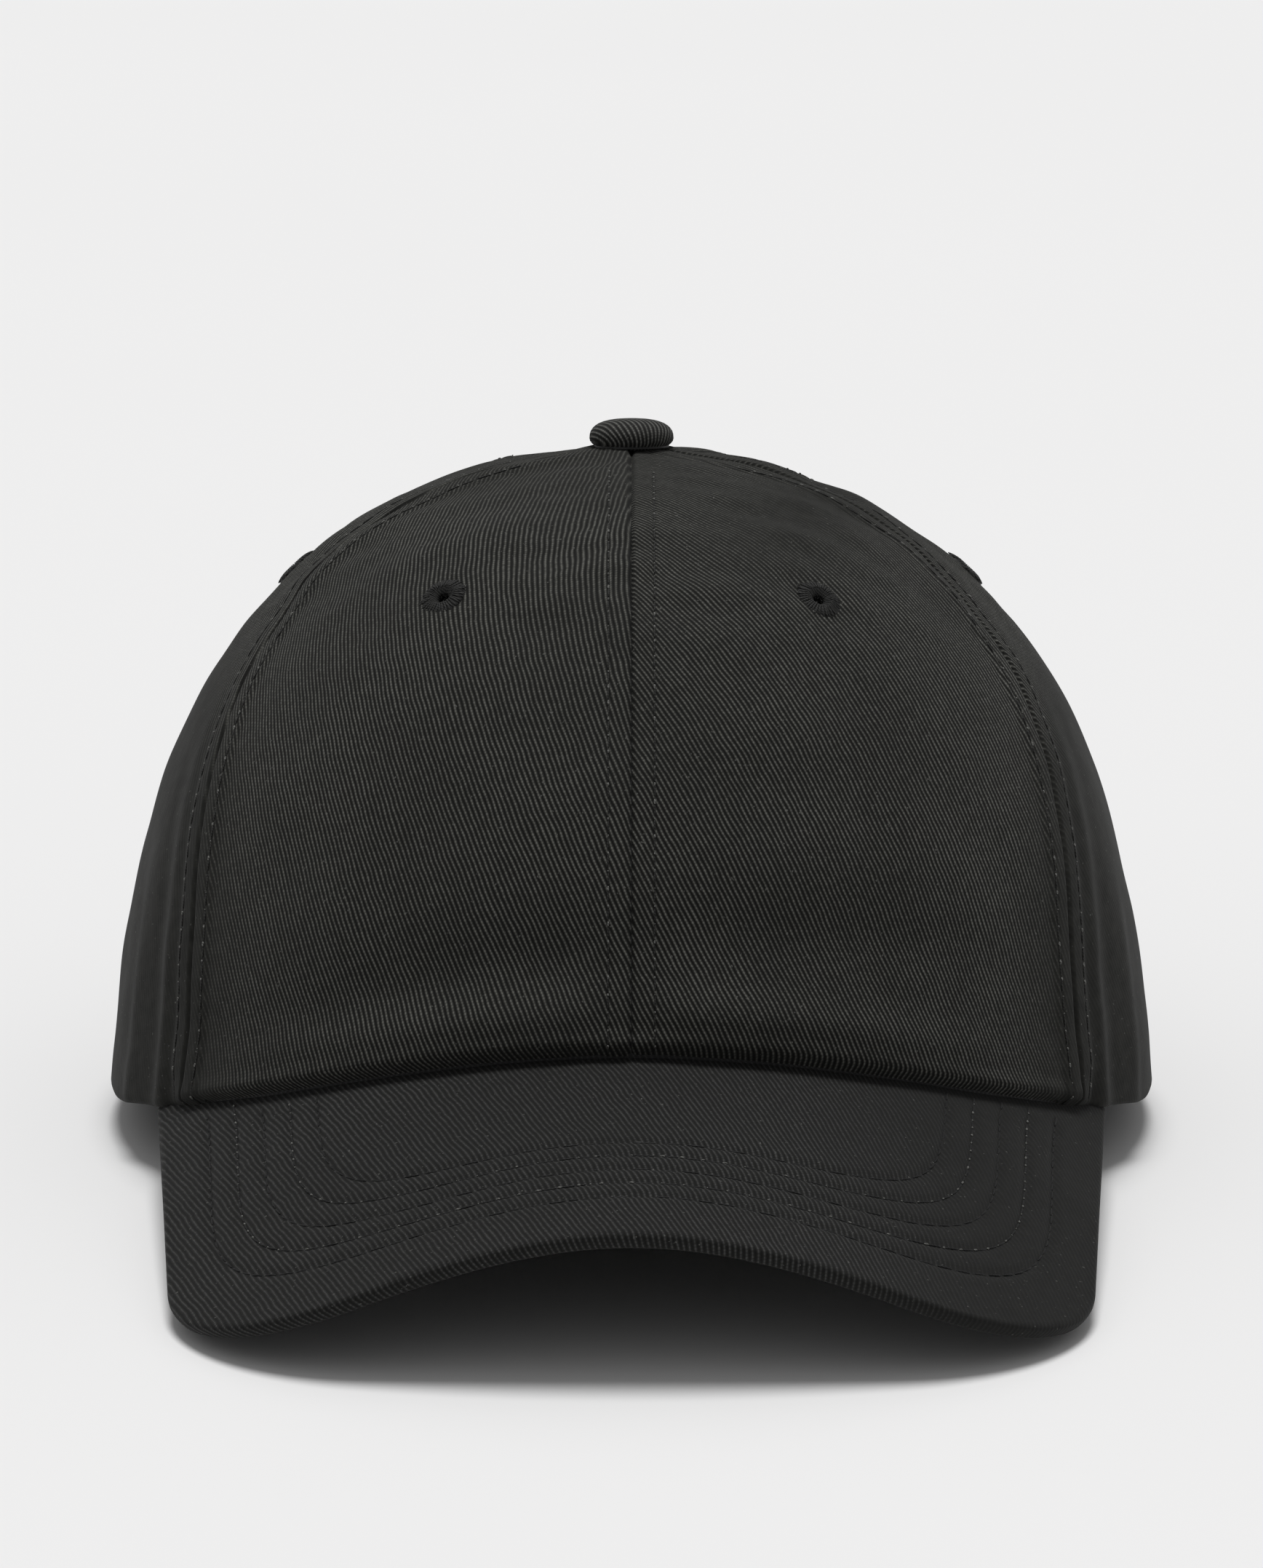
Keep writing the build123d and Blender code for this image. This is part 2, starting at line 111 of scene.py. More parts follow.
overhead = bpy.data.lights.new("overhead_light", "SUN")
overhead.energy = LIGHT_STRENGTH
overhead.angle = LIGHT_SPREAD
in_scene("overhead_light", overhead).rotation_euler = (LIGHT_LEAN, 0, 0)

room = bpy.data.worlds.new("studio")
room.use_nodes = True
room.node_tree.nodes["Background"].inputs["Color"].default_value = (1.0, 1.0, 1.0, 1)
room.node_tree.nodes["Background"].inputs["Strength"].default_value = ROOM_STRENGTH
bpy.context.scene.world = room
bpy.context.scene.view_settings.view_transform = "Standard"

lens_data = bpy.data.cameras.new("front_camera")
lens_data.lens = LENS
lens_data.sensor_width = SENSOR_WIDTH
lens_data.clip_end = VIEW_REACH
front_camera = in_scene("front_camera", lens_data)
back_off = Vector((0, -math.cos(VIEW_ELEVATION), math.sin(VIEW_ELEVATION)))
front_camera.location = VIEW_AIM + VIEW_DISTANCE * back_off
front_camera.rotation_euler = (math.pi / 2 - VIEW_ELEVATION, 0, 0)
bpy.context.scene.camera = front_camera


# ---- Crown panels -----------------------------------------------------------------------
# Six panels of washed black cotton twill, sewn into a dome with no stiffening, so the cloth
# lies soft: ridged over its seam allowances, rolled in at the rim, lightly rumpled.

HALF_WIDTH, FRONT_LENGTH, REAR_LENGTH, CROWN_HEIGHT = 93.0, 95.0, 97.0, 107.9
DOME_POWER, DOME_TAPER = 2.262, 0.027
FRONT_SEAM, FRONT_SEAM_SWEEP, FRONT_SEAM_RETURN, REAR_SEAM = 56.5, 22.0, 10.0, 122.0
BRIM_RISE, BRIM_SLOPE, BRIM_END_X, BRIM_REACH = 12.4, math.radians(13.8), 82.9, 163.5
BRIM_JOINT_RADIUS, BRIM_NOSE_RADIUS, BRIM_FLARE = 122.0, 71.5, 46.1
BRIM_END_AZIMUTH = math.degrees(math.asin(BRIM_END_X / HALF_WIDTH))
RIM_GAP, SIDE_RIM_FALL = 0.35, 4.4
OPENING_HALF_WIDTH, OPENING_HEIGHT, OPENING_MARGIN = 44.0, 47.0, 1.6
EYELET_HEIGHT, EYELET_CUT = 87.0, 2.2
EYELET_AZIMUTHS = {"front": 32.5, "side": 96.0, "rear": 151.0}
APEX_RADIUS = 2.6
STITCH_OFFSET, SEAM_DEPTH, STITCH_DEPTH = 3.9, 0.45, 0.22
CENTRE_RIDGE_RIGHT, CENTRE_RIDGE_LEFT, FRONT_RIDGE, REAR_RIDGE, RIDGE_REACH = 0.62, 0.2, 0.55, 0.5, 9
ROLL_IN_SIDE, ROLL_IN_FRONT, BULGE_LOW, BULGE_FULL, HOLLOW_FULL = 0.3, 2.8, 0.7, 1.5, 0.4
SIDE_FOLD, SIDE_FURROW, SECOND_FOLD, SIDE_TUCK, SIDE_FOLD_TURN = 0.6, 0.5, 0.7, 1.2, 40
SIDE_FULLNESS, SHOULDER_DROP, SHOULDER_FILL_HIGH, SHOULDER_FILL_LOW = 1.0, 0.9, 0.75, 0.5
SWELL, SMALL_SWELL, RUMPLE, APEX_RISE = 0.75, 0.36, 0.75, 0.7
PANEL_COLUMNS, PANEL_ROWS, PANEL_WALL = 104, 160, 0.7
ROW_CROWDING, SEAM_CROWDING = 1.3, 0.72

head_opening = frame["record"]["mounts"][0]
down = Vector(head_opening["axis"])
lean_back = Matrix.Rotation(-math.atan2(-down.y, -down.z), 4, "X")
head = Matrix.Translation(head_opening["pos_m"]) @ lean_back


def smooth(s):
    """Ease from 0 to 1 as s goes from 0 to 1."""
    s = min(max(s, 0.0), 1.0)
    return s * s * (3 - 2 * s)


def bell(s):
    """1 at s = 0, falling away to nothing either side."""
    return math.exp(-s * s)


def dome_radius(t):
    """The dome's plan radius as a share of the rim's, at height share t."""
    dome = (1 - max(t, 0.0) ** DOME_POWER) ** (1 / DOME_POWER)
    return dome * (1 - DOME_TAPER * math.sin(math.pi * t))


def crown_point(azimuth, z, lift=0.0):
    """Point of the cap, in metres: azimuth in degrees from the front, z and lift in mm."""
    a = math.radians(azimuth)
    t = z / CROWN_HEIGHT
    length = FRONT_LENGTH if math.cos(a) > 0 else REAR_LENGTH
    r = dome_radius(t)
    step = 1e-5
    slope = (dome_radius(t + step / 2) - dome_radius(t - step / 2)) / step
    x, y = HALF_WIDTH * math.sin(a) * r, -length * math.cos(a) * r
    normal = Vector((x / HALF_WIDTH ** 2, y / length ** 2, -r * slope / CROWN_HEIGHT)).normalized()
    return head @ ((Vector((x, y, z)) + normal * lift) * mm)


def brim_height(x, y):
    """Height of the brim's upper face: bent to one arch at the crown and another in front."""
    nose = min(max((-FRONT_LENGTH - y) / (BRIM_REACH - FRONT_LENGTH), 0), 1)
    nose_sag = BRIM_FLARE ** 2 / BRIM_NOSE_RADIUS * (math.sqrt(1 + (x / BRIM_FLARE) ** 2) - 1)
    sag = x * x / (2 * BRIM_JOINT_RADIUS) * (1 - nose) + nose_sag * nose
    return BRIM_RISE + math.tan(BRIM_SLOPE) * (y + FRONT_LENGTH) - sag


def rim_height(azimuth):
    """Where the cloth ends below: on the brim in front, a little low at the sides."""
    turn = abs(azimuth)
    over_brim = math.radians(min(turn, BRIM_END_AZIMUTH))
    z = 0.0
    for _ in range(3):
        r = dome_radius(z / CROWN_HEIGHT)
        z = brim_height(HALF_WIDTH * r * math.sin(over_brim), -FRONT_LENGTH * r * math.cos(over_brim))
    fall = SIDE_RIM_FALL * smooth((turn - 60) / 20) * (1 - smooth((turn - 112) / 22))
    return (z + RIM_GAP) * (1 - smooth((turn - 56) / 28)) - fall


def front_seam(t):
    """Azimuth of the seam between front and side panels, at height share t."""
    t = max(t, 0)
    return FRONT_SEAM + FRONT_SEAM_SWEEP * t ** 2 - FRONT_SEAM_RETURN * t ** 12


def rear_seam(t):
    """Azimuth of the seam between side and rear panels."""
    return REAR_SEAM + 2 * t


def centre_front(t):
    """The front centre seam is upright, whatever the height share t."""
    return 0.0


def centre_rear(t):
    """The rear centre seam is upright too."""
    return 180.0


def seam_profile(s, allowance):
    """Lift of the cloth at s mm from a seam: sunk in the seam, raised over its allowance."""
    raised = allowance * smooth((s - 0.15) / 0.7) * (1 - smooth((s - STITCH_OFFSET) / 1.7))
    return raised - SEAM_DEPTH * bell(s / 0.3) - STITCH_DEPTH * bell((s - STITCH_OFFSET) / 0.45)


def front_lift(turn, x, rise):
    """The front cloth rolls in on the brim, bulges above it, and hollows above the bulge."""
    over_brim = 1 - smooth((turn - 50) / 14)
    pinch = smooth(abs(x) / 14)
    sweep = 1 - smooth((abs(x) - 34) / 34)
    rolled = 1 - smooth(rise / (0.8 + 2.0 * over_brim))
    lift = -(ROLL_IN_SIDE + ROLL_IN_FRONT * over_brim) * rolled
    lift += over_brim * (0.5 + BULGE_FULL * pinch * sweep) * bell((rise - 6.5) / 5.5)
    lift += over_brim * BULGE_LOW * bell((rise - 2.6) / 1.8)
    hollow = 0.4 + HOLLOW_FULL * sweep * pinch
    return lift - over_brim * hollow * bell((rise - 19 - 0.1 * x) / 6.5)


def side_lift(reach, z, rise):
    """Two upright folds behind the front seam, reach mm along the cloth from it."""
    low = 1 - smooth((z - 10) / 70)
    lift = SIDE_FOLD * low * bell((reach - 9) / 2.2) - SIDE_FURROW * low * bell((reach - 14.5) / 3.0)
    lift += SECOND_FOLD * (1 - smooth((z - 5) / 42)) * bell((reach - 24) / 3.5)
    return lift - SIDE_TUCK * bell((reach - 4.5) / 4) * (1 - smooth(rise / 9))


def shoulder_lift(azimuth, z):
    """The sides are full low down and flat at the shoulder, less so on the right."""
    turn = abs(azimuth)
    shoulder = -SHOULDER_DROP * bell((z - 84) / 12)
    if azimuth < 0:
        fill = SHOULDER_FILL_HIGH * bell((z - 98) / 9) + SHOULDER_FILL_LOW * bell((z - 84) / 10)
        shoulder += fill * (1 - smooth((turn - 110) / 40))
    return (SIDE_FULLNESS * bell((z - 58) / 20) + shoulder) * smooth((turn - 45) / 25)


def crown_lift(azimuth, z):
    """How far the cloth stands off the plain dome, in mm."""
    turn, t = abs(azimuth), z / CROWN_HEIGHT
    radius = HALF_WIDTH * dome_radius(t)
    centre_ridge = CENTRE_RIDGE_RIGHT if azimuth < 0 else CENTRE_RIDGE_LEFT
    ridges = ((0.0, centre_ridge), (front_seam(t), FRONT_RIDGE), (rear_seam(t), REAR_RIDGE),
              (180.0, REAR_RIDGE))
    lift = 0.0
    for seam, allowance in ridges:
        s = abs(turn - seam) * math.pi / 180 * radius
        if s < RIDGE_REACH:
            lift += seam_profile(s, allowance)
    rise = z - rim_height(azimuth)
    x = radius * math.sin(math.radians(azimuth))
    lift += front_lift(turn, x, rise)
    side = turn - front_seam(t)
    if 0 < side < SIDE_FOLD_TURN:
        lift += side_lift(side * math.pi / 180 * radius, z, rise)
    lift += shoulder_lift(azimuth, z)
    spot = Vector((x, -radius * math.cos(math.radians(azimuth)), z))
    swell = SWELL * noise.noise(spot / 34) + SMALL_SWELL * noise.noise(spot / 13 + Vector((7, 3, 1)))
    lift += smooth(rise / 10) * swell
    creased = smooth((z - 66) / 25) * (1 - smooth((radius - 68) / 14))
    crease = noise.noise(Vector((spot.x / 15, spot.y / 6, spot.z / 7)) + Vector((2, 0, 4)))
    return lift + creased * RUMPLE * crease + APEX_RISE * bell(radius / 16)


def climb(v, start):
    """Height share at step v of the way from the rim to the top hole."""
    top = (1 - (APEX_RADIUS / HALF_WIDTH) ** DOME_POWER) ** (1 / DOME_POWER)
    last = math.asin(top ** (DOME_POWER / 2))
    return math.sin(v * last) ** (2 / DOME_POWER) + start * (1 - v) ** 3


def in_opening(point, margin):
    """Is a point of the cap, in metres, inside the rear half-moon grown by margin mm?"""
    p = head.inverted() @ point / mm
    wide, high = OPENING_HALF_WIDTH + margin, OPENING_HEIGHT + margin
    return p.y > 0 and (p.x / wide) ** 2 + (p.z / high) ** 2 < 1


def new_piece(name, bm, material, body, nodes, wall=0.0, offset=-1.0):
    """Finish a modelled piece: smooth faces, wall thickness, material and its place in the cap."""
    data = bpy.data.meshes.new(name)
    bm.to_mesh(data)
    bm.free()
    piece = in_scene(name, data)
    data.polygons.foreach_set("use_smooth", [True] * len(data.polygons))
    data.materials.append(material)
    if wall:
        solid = piece.modifiers.new("wall", "SOLIDIFY")
        solid.thickness = wall * mm
        solid.offset = offset
    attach(piece, body)
    if nodes:
        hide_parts(*nodes)
    return piece


def cloth_grid(columns, rows):
    """Even faces one unit square, with a cloth map, to be laid where a sheet goes."""
    bm = bmesh.new()
    bmesh.ops.create_grid(bm, x_segments=columns, y_segments=rows, size=0.5)
    bm.loops.layers.uv.new("cloth")
    return bm


def lay_cloth(bm, flat):
    """Write the cloth map: flat gives each vertex's place on the cut cloth, in metres."""
    cloth_map = bm.loops.layers.uv["cloth"]
    for face in bm.faces:
        for loop in face.loops:
            loop[cloth_map].uv = flat[loop.vert]


def math_node(tree, operation, a, b=None, clamp=False):
    """A Math node's result. a and b are numbers or other nodes' outputs."""
    node = tree.nodes.new("ShaderNodeMath")
    node.operation = operation
    node.use_clamp = clamp
    for socket, value in zip(node.inputs, (a, b)):
        if isinstance(value, (int, float)):
            socket.default_value = value
        elif value is not None:
            tree.links.new(value, socket)
    return node.outputs[0]


def twill_weave():
    """Steep twill: raised ribs that climb to the left, each a row of single yarn floats."""
    tree = bpy.data.node_groups.new("twill_weave", "ShaderNodeTree")
    tree.interface.new_socket("Cloth", in_out="INPUT", socket_type="NodeSocketVector")
    for value in ("Rib Pitch", "Slant"):
        tree.interface.new_socket(value, in_out="INPUT", socket_type="NodeSocketFloat")
    for mask in ("Rib", "Height"):
        tree.interface.new_socket(mask, in_out="OUTPUT", socket_type="NodeSocketFloat")
    inlet, outlet = tree.nodes.new("NodeGroupInput"), tree.nodes.new("NodeGroupOutput")
    turned = tree.nodes.new("ShaderNodeVectorRotate")
    turned.rotation_type = "Z_AXIS"
    tree.links.new(inlet.outputs["Cloth"], turned.inputs["Vector"])
    tree.links.new(math_node(tree, "MULTIPLY", inlet.outputs["Slant"], -1), turned.inputs["Angle"])
    split = tree.nodes.new("ShaderNodeSeparateXYZ")
    tree.links.new(turned.outputs["Vector"], split.inputs[0])
    sway = soft_noise(tree, inlet.outputs["Cloth"], 130)
    across = math_node(tree, "DIVIDE", split.outputs[1], inlet.outputs["Rib Pitch"])
    across = math_node(tree, "ADD", across, math_node(tree, "MULTIPLY", sway, 0.9))
    row = math_node(tree, "FLOOR", across)
    fold = math_node(tree, "MULTIPLY", math_node(tree, "PINGPONG", across, 0.5), 2.0, clamp=True)
    height = math_node(tree, "POWER", fold, 1.3)
    float_length = math_node(tree, "MULTIPLY", inlet.outputs["Rib Pitch"], 0.66)
    along = math_node(tree, "DIVIDE", split.outputs[0], float_length)
    along = math_node(tree, "ADD", along, math_node(tree, "MULTIPLY", row, 0.37))
    yarn = math_node(tree, "FLOOR", along)
    bead = math_node(tree, "MULTIPLY", math_node(tree, "PINGPONG", along, 0.5), 2.0, clamp=True)
    bead = math_node(tree, "POWER", bead, 0.6)
    pair = tree.nodes.new("ShaderNodeCombineXYZ")
    tree.links.new(row, pair.inputs[0])
    tree.links.new(yarn, pair.inputs[1])
    speck = tree.nodes.new("ShaderNodeTexWhiteNoise")
    speck.noise_dimensions = "2D"
    tree.links.new(pair.outputs[0], speck.inputs["Vector"])
    lustre = math_node(tree, "ADD", math_node(tree, "MULTIPLY", speck.outputs["Value"], 0.55), 0.7)
    # The Rib output sets the colour: a painted highlight on each rib's crest, brightest at the middle of
    # each yarn float and varied yarn by yarn, with painted shade in the valleys between.
    rib = math_node(tree, "MULTIPLY", math_node(tree, "POWER", fold, 2.6), lustre)
    beaded = math_node(tree, "ADD", math_node(tree, "MULTIPLY", bead, 0.65), 0.35)
    tree.links.new(math_node(tree, "MULTIPLY", rib, beaded), outlet.inputs["Rib"])
    rounded = math_node(tree, "ADD", math_node(tree, "MULTIPLY", bead, 0.25), 0.75)
    tree.links.new(math_node(tree, "MULTIPLY", height, rounded), outlet.inputs["Height"])
    return tree


def washed_cloth():
    """Wash and handling marks: soft clouds, fine fuzz and a few specks of lint."""
    tree = bpy.data.node_groups.new("washed_cloth", "ShaderNodeTree")
    tree.interface.new_socket("Place", in_out="INPUT", socket_type="NodeSocketVector")
    for mask in ("Cloud", "Lint", "Fuzz"):
        tree.interface.new_socket(mask, in_out="OUTPUT", socket_type="NodeSocketFloat")
    inlet, outlet = tree.nodes.new("NodeGroupInput"), tree.nodes.new("NodeGroupOutput")
    place = inlet.outputs["Place"]
    tree.links.new(soft_noise(tree, place, 30, 4), outlet.inputs["Cloud"])
    tree.links.new(soft_noise(tree, place, 420, 5), outlet.inputs["Fuzz"])
    sharp = math_node(tree, "SUBTRACT", soft_noise(tree, place, 1500, 1), 0.72)
    tree.links.new(math_node(tree, "MULTIPLY", sharp, 12, clamp=True), outlet.inputs["Lint"])
    return tree


TWILL = twill_weave()
WASH = washed_cloth()
LINT = (0.16, 0.16, 0.15)


def twill_cloth(name, valley, crest, rib_pitch=0.86, slant=114, relief=0.13, sheen=0.03):
    """Cotton twill on a piece's own cloth map, darkened between the ribs by painted shade and lightened on
    them by a painted highlight.
    """
    sockets = {"Specular IOR Level": 0.12, "Sheen Weight": sheen, "Sheen Roughness": 0.5}
    material, tree, shader = new_finish(name, sockets)
    cut = tree.nodes.new("ShaderNodeUVMap")
    cut.uv_map = "cloth"
    weave = tree.nodes.new("ShaderNodeGroup")
    weave.node_tree = TWILL
    weave.inputs["Rib Pitch"].default_value = rib_pitch * mm
    weave.inputs["Slant"].default_value = math.radians(slant)
    tree.links.new(cut.outputs["UV"], weave.inputs["Cloth"])
    place = tree.nodes.new("ShaderNodeTexCoord")
    wash = tree.nodes.new("ShaderNodeGroup")
    wash.node_tree = WASH
    tree.links.new(place.outputs["Object"], wash.inputs["Place"])
    rubbed = tree.nodes.new("ShaderNodeAttribute")
    rubbed.attribute_name = "rubbed"
    worn = math_node(tree, "ADD", math_node(tree, "MULTIPLY", wash.outputs["Cloud"], 0.9), 0.55)
    shown = math_node(tree, "MULTIPLY", weave.outputs["Rib"], worn)
    nap = tree.nodes.new("ShaderNodeMix")
    tree.links.new(rubbed.outputs["Fac"], nap.inputs["Factor"])
    tree.links.new(shown, nap.inputs["A"])
    tree.links.new(math_node(tree, "MULTIPLY", wash.outputs["Fuzz"], 0.16), nap.inputs["B"])
    lint = tree.nodes.new("ShaderNodeMix")
    lint.data_type = "RGBA"
    lint.inputs["B"].default_value = (*LINT, 1)
    # valley is the painted shade colour between the ribs and crest the painted highlight colour on them.
    tree.links.new(colour_between(tree, nap.outputs["Result"], valley, crest), lint.inputs["A"])
    tree.links.new(math_node(tree, "MULTIPLY", wash.outputs["Lint"], 0.45), lint.inputs["Factor"])
    tree.links.new(lint.outputs["Result"], shader.inputs["Base Color"])
    rough = math_node(tree, "ADD", math_node(tree, "MULTIPLY", wash.outputs["Cloud"], 0.2), 0.72)
    tree.links.new(rough, shader.inputs["Roughness"])
    bump = tree.nodes.new("ShaderNodeBump")
    bump.inputs["Distance"].default_value = relief * mm
    flattened = math_node(tree, "MULTIPLY", rubbed.outputs["Fac"], 0.8)
    flatter = math_node(tree, "SUBTRACT", 1.0, flattened)
    tree.links.new(flatter, bump.inputs["Strength"])
    tree.links.new(weave.outputs["Height"], bump.inputs["Height"])
    tree.links.new(bump.outputs["Normal"], shader.inputs["Normal"])
    return material


# The crown twill's crest colour is a painted highlight, far above black cotton's own colour.
CROWN_CLOTH = twill_cloth("crown_twill", (0.0048, 0.0048, 0.0042), (0.142, 0.142, 0.128))


def add_rubbed(data, amount):
    """How smooth the cloth is worn, 0 to 1, as amount(x, y, z) in the cap's own frame in mm."""
    layer = data.attributes.new("rubbed", "FLOAT", "POINT")
    back = head.inverted()
    for vertex in data.vertices:
        layer.data[vertex.index].value = amount(*(back @ vertex.co / mm))


def crown_rub(x, y, z):
    """The sides are smooth; so is a dusty patch high on the wearer's left."""
    side = smooth((abs(x) - 64) / 14)
    patch = 0.9 * bell((x - 32) / 22) * bell((z - 101) / 9)
    top = 0.5 * smooth((z - 96) / 10)
    return max(side, patch, top)


def panel_piece(name, side, low, high):
    """One panel, cut with its grain straight up its middle line."""
    rows = PANEL_ROWS
    bm = cloth_grid(PANEL_COLUMNS, rows)
    start = rim_height((low(0) + high(0)) / 2) / CROWN_HEIGHT
    lengths, previous, total = {}, None, 0.0
    for j in range(rows + 1):
        t = climb((j / rows) ** ROW_CROWDING, start)
        p = crown_point((low(t) + high(t)) / 2, t * CROWN_HEIGHT)
        total += (p - previous).length if previous else 0.0
        previous = p
        lengths[j] = total
    flat = {}
    for vertex in bm.verts:
        u, v = vertex.co.x + 0.5, vertex.co.y + 0.5
        j = round(v * rows)
        v **= ROW_CROWDING
        u -= SEAM_CROWDING * math.sin(2 * math.pi * u) / (2 * math.pi)
        start = rim_height(low(0) + (high(0) - low(0)) * u) / CROWN_HEIGHT
        t = climb(v, start)
        width = high(t) - low(t)
        offset = (u - 0.5) * width * math.pi / 180 * HALF_WIDTH * dome_radius(t) * mm
        azimuth = side * (low(t) + width * u)
        vertex.co = crown_point(azimuth, t * CROWN_HEIGHT, crown_lift(azimuth, t * CROWN_HEIGHT))
        flat[vertex] = (side * offset, lengths[j])
    lay_cloth(bm, flat)
    word = name.split("_")[1]
    hole = crown_point(side * EYELET_AZIMUTHS[word], EYELET_HEIGHT)
    gone = [f for f in bm.faces if (f.calc_center_median() - hole).length < EYELET_CUT * mm]
    if word == "rear":
        gone += [f for f in bm.faces if in_opening(f.calc_center_median(), OPENING_MARGIN)]
    bmesh.ops.delete(bm, geom=list(set(gone)), context="FACES")
    if side < 0:
        bmesh.ops.reverse_faces(bm, faces=bm.faces)
    piece = new_piece(name, bm, CROWN_CLOTH, "cap", [name], wall=PANEL_WALL)
    add_rubbed(piece.data, crown_rub)
    width = math.radians(high(0) - low(0)) * HALF_WIDTH * mm


PANEL_SEAMS = {"front": (centre_front, front_seam), "side": (front_seam, rear_seam),
               "rear": (rear_seam, centre_rear)}
for word, (low, high) in PANEL_SEAMS.items():
    for side, hand in ((-1, "right"), (1, "left")):
        panel_piece(f"panel_{word}_{hand}", side, low, high)


# ---- Crown topstitching -----------------------------------------------------------------
# Black polyester thread, two rows along every seam, about three stitches to a centimetre.
# Each stitch is a short loop of thread pulled a little into the cloth at both ends.

STITCH_PITCH, STITCH_FILL, STITCH_THICKNESS, STITCH_SWAY = 3.0, 0.84, 0.17, 0.06
STITCH_PROUD, PATH_STEPS, SEAM_TOP, BINDING_CLEARANCE = 0.12, 1500, 0.985, 6


def thread_finish(name, dark, light):
    """Twisted sewing thread: fine slanted plies with a soft lustre."""
    sockets = {"Roughness": 0.6, "Specular IOR Level": 0.15, "Sheen Weight": 0.03}
    material, tree, shader = new_finish(name, sockets)
    place = tree.nodes.new("ShaderNodeTexCoord")
    ply = tree.nodes.new("ShaderNodeTexWave")
    ply.bands_direction = "DIAGONAL"
    ply.inputs["Scale"].default_value = 900
    ply.inputs["Distortion"].default_value = 2.0
    tree.links.new(place.outputs["Object"], ply.inputs["Vector"])
    twist = colour_between(tree, ply.outputs["Fac"], dark, light)
    tree.links.new(twist, shader.inputs["Base Color"])
    return material


THREAD = thread_finish("sewing_thread", (0.008, 0.008, 0.0075), (0.03, 0.03, 0.028))
# Pale thread colour for the painted highlights where stitches go down into the cloth.
STITCH_END_HIGHLIGHT = thread_finish("stitch_end_highlights", (0.06, 0.06, 0.056), (0.17, 0.17, 0.16))
steady = random.Random(5)


def add_stitch(bm, start, end, outward, thickness):
    """One stitch: a slim spindle of thread from start to end."""
    along = end - start
    across = outward.cross(along).normalized()
    up = along.cross(across).normalized()
    turn = Matrix((along.normalized(), across, up)).transposed().to_4x4()
    size = Matrix.Diagonal((along.length / 2 * 1.04, thickness * mm, thickness * mm * 0.9, 1))
    bmesh.ops.create_uvsphere(bm, u_segments=6, v_segments=5, radius=1.0,
                              matrix=Matrix.Translation((start + end) / 2) @ turn @ size)


def stitch_along(bm, path, pitch=STITCH_PITCH, thickness=STITCH_THICKNESS, fill=STITCH_FILL, end_highlights=None):
    """Even stitches along a path of (point, outward normal) pairs set close together.
    The last argument, if given, takes a small pale spindle at each stitch's end: a painted highlight where
    the thread goes down."""
    walked, start, target = 0.0, path[0], pitch * mm * fill
    for (a, _), (b, normal) in zip(path, path[1:]):
        walked += (b - a).length
        if walked >= target:
            if start is not None:
                jitter = Vector([steady.uniform(-1, 1) for _ in range(3)]) * STITCH_SWAY * mm
                add_stitch(bm, start[0] + jitter, b + jitter, normal, thickness)
                start, target = None, target + pitch * mm * (1 - fill)
                # A small pale spindle where the thread goes down: a painted highlight at the stitch's end.
                if end_highlights is not None:
                    size = steady.uniform(0.35, 1.0) ** 2
                    tip = (b - a).normalized() * 0.5 * size * mm
                    middle = b + normal * 0.1 * mm
                    add_stitch(end_highlights, middle - tip, middle + tip, normal, 0.13 + 0.08 * size)
            else:
                start, target = (b, normal), target + pitch * mm * fill


def crown_path(azimuth_at, start, stop):
    """Points on the crown cloth as the height goes from start to stop mm."""
    path = []
    for i in range(PATH_STEPS + 1):
        f = i / PATH_STEPS
        z = start + (stop - start) * (1 - (1 - f) ** 2)
        azimuth = azimuth_at(z)
        lift = crown_lift(azimuth, z)
        point = crown_point(azimuth, z, lift + STITCH_PROUD)
        path.append((point, (point - crown_point(azimuth, z, lift - 1)).normalized()))
    return path


def seam_row(seam, side, offset):
    """Path beside a seam, offset in mm along the cloth."""
    def azimuth_at(z):
        t = z / CROWN_HEIGHT
        return side * seam(t) + math.degrees(offset / (HALF_WIDTH * dome_radius(t)))

    base = OPENING_HEIGHT + BINDING_CLEARANCE if seam is centre_rear else rim_height(seam(0)) + 1.0
    return crown_path(azimuth_at, base, SEAM_TOP * CROWN_HEIGHT)


for label, seam, sides in (("front_centre", centre_front, (1,)), ("front_side", front_seam, (-1, 1)),
                           ("rear_side", rear_seam, (-1, 1)), ("rear_centre", centre_rear, (1,))):
    rows, ends = bmesh.new(), bmesh.new()
    for side in sides:
        for offset in (-STITCH_OFFSET, STITCH_OFFSET):
            stitch_along(rows, seam_row(seam, side, offset), end_highlights=ends)
    new_piece(f"topstitch_{label}", rows, THREAD, "cap", [])
    # The pale spindles at the stitch ends are painted highlights.
    new_piece(f"topstitch_end_highlights_{label}", ends, STITCH_END_HIGHLIGHT, "cap", [])


# ---- Eyelets ----------------------------------------------------------------------------
# A small hole near the top of each panel, bound with close radial satin stitches of black
# embroidery thread that go through the hole and over the cloth's edge.

EYELET_RADIUS, EYELET_HOLE, EYELET_THREADS = 4.4, 1.15, 38
EYELET_TOP, EYELET_BOTTOM = 0.42, -1.35
EMBROIDERY = thread_finish("embroidery_thread", (0.008, 0.008, 0.008), (0.034, 0.034, 0.032))


def spin_profile(bm, profile, base, steps, closed):
    """Turn a profile of (radius, height) in mm once round the upright axis, base mm up."""
    line = [bm.verts.new((r * mm, 0, (base + h) * mm)) for r, h in profile]
    pairs = zip(line, line[1:] + line[:1]) if closed else zip(line, line[1:])
    edges = [bm.edges.new(pair) for pair in pairs]
    bmesh.ops.spin(bm, geom=line + edges, cent=(0, 0, 0), axis=(0, 0, 1), angle=2 * math.pi,
                   steps=steps, use_merge=True, use_duplicate=False)
    bmesh.ops.remove_doubles(bm, verts=bm.verts, dist=1e-6)
    bmesh.ops.recalc_face_normals(bm, faces=bm.faces)


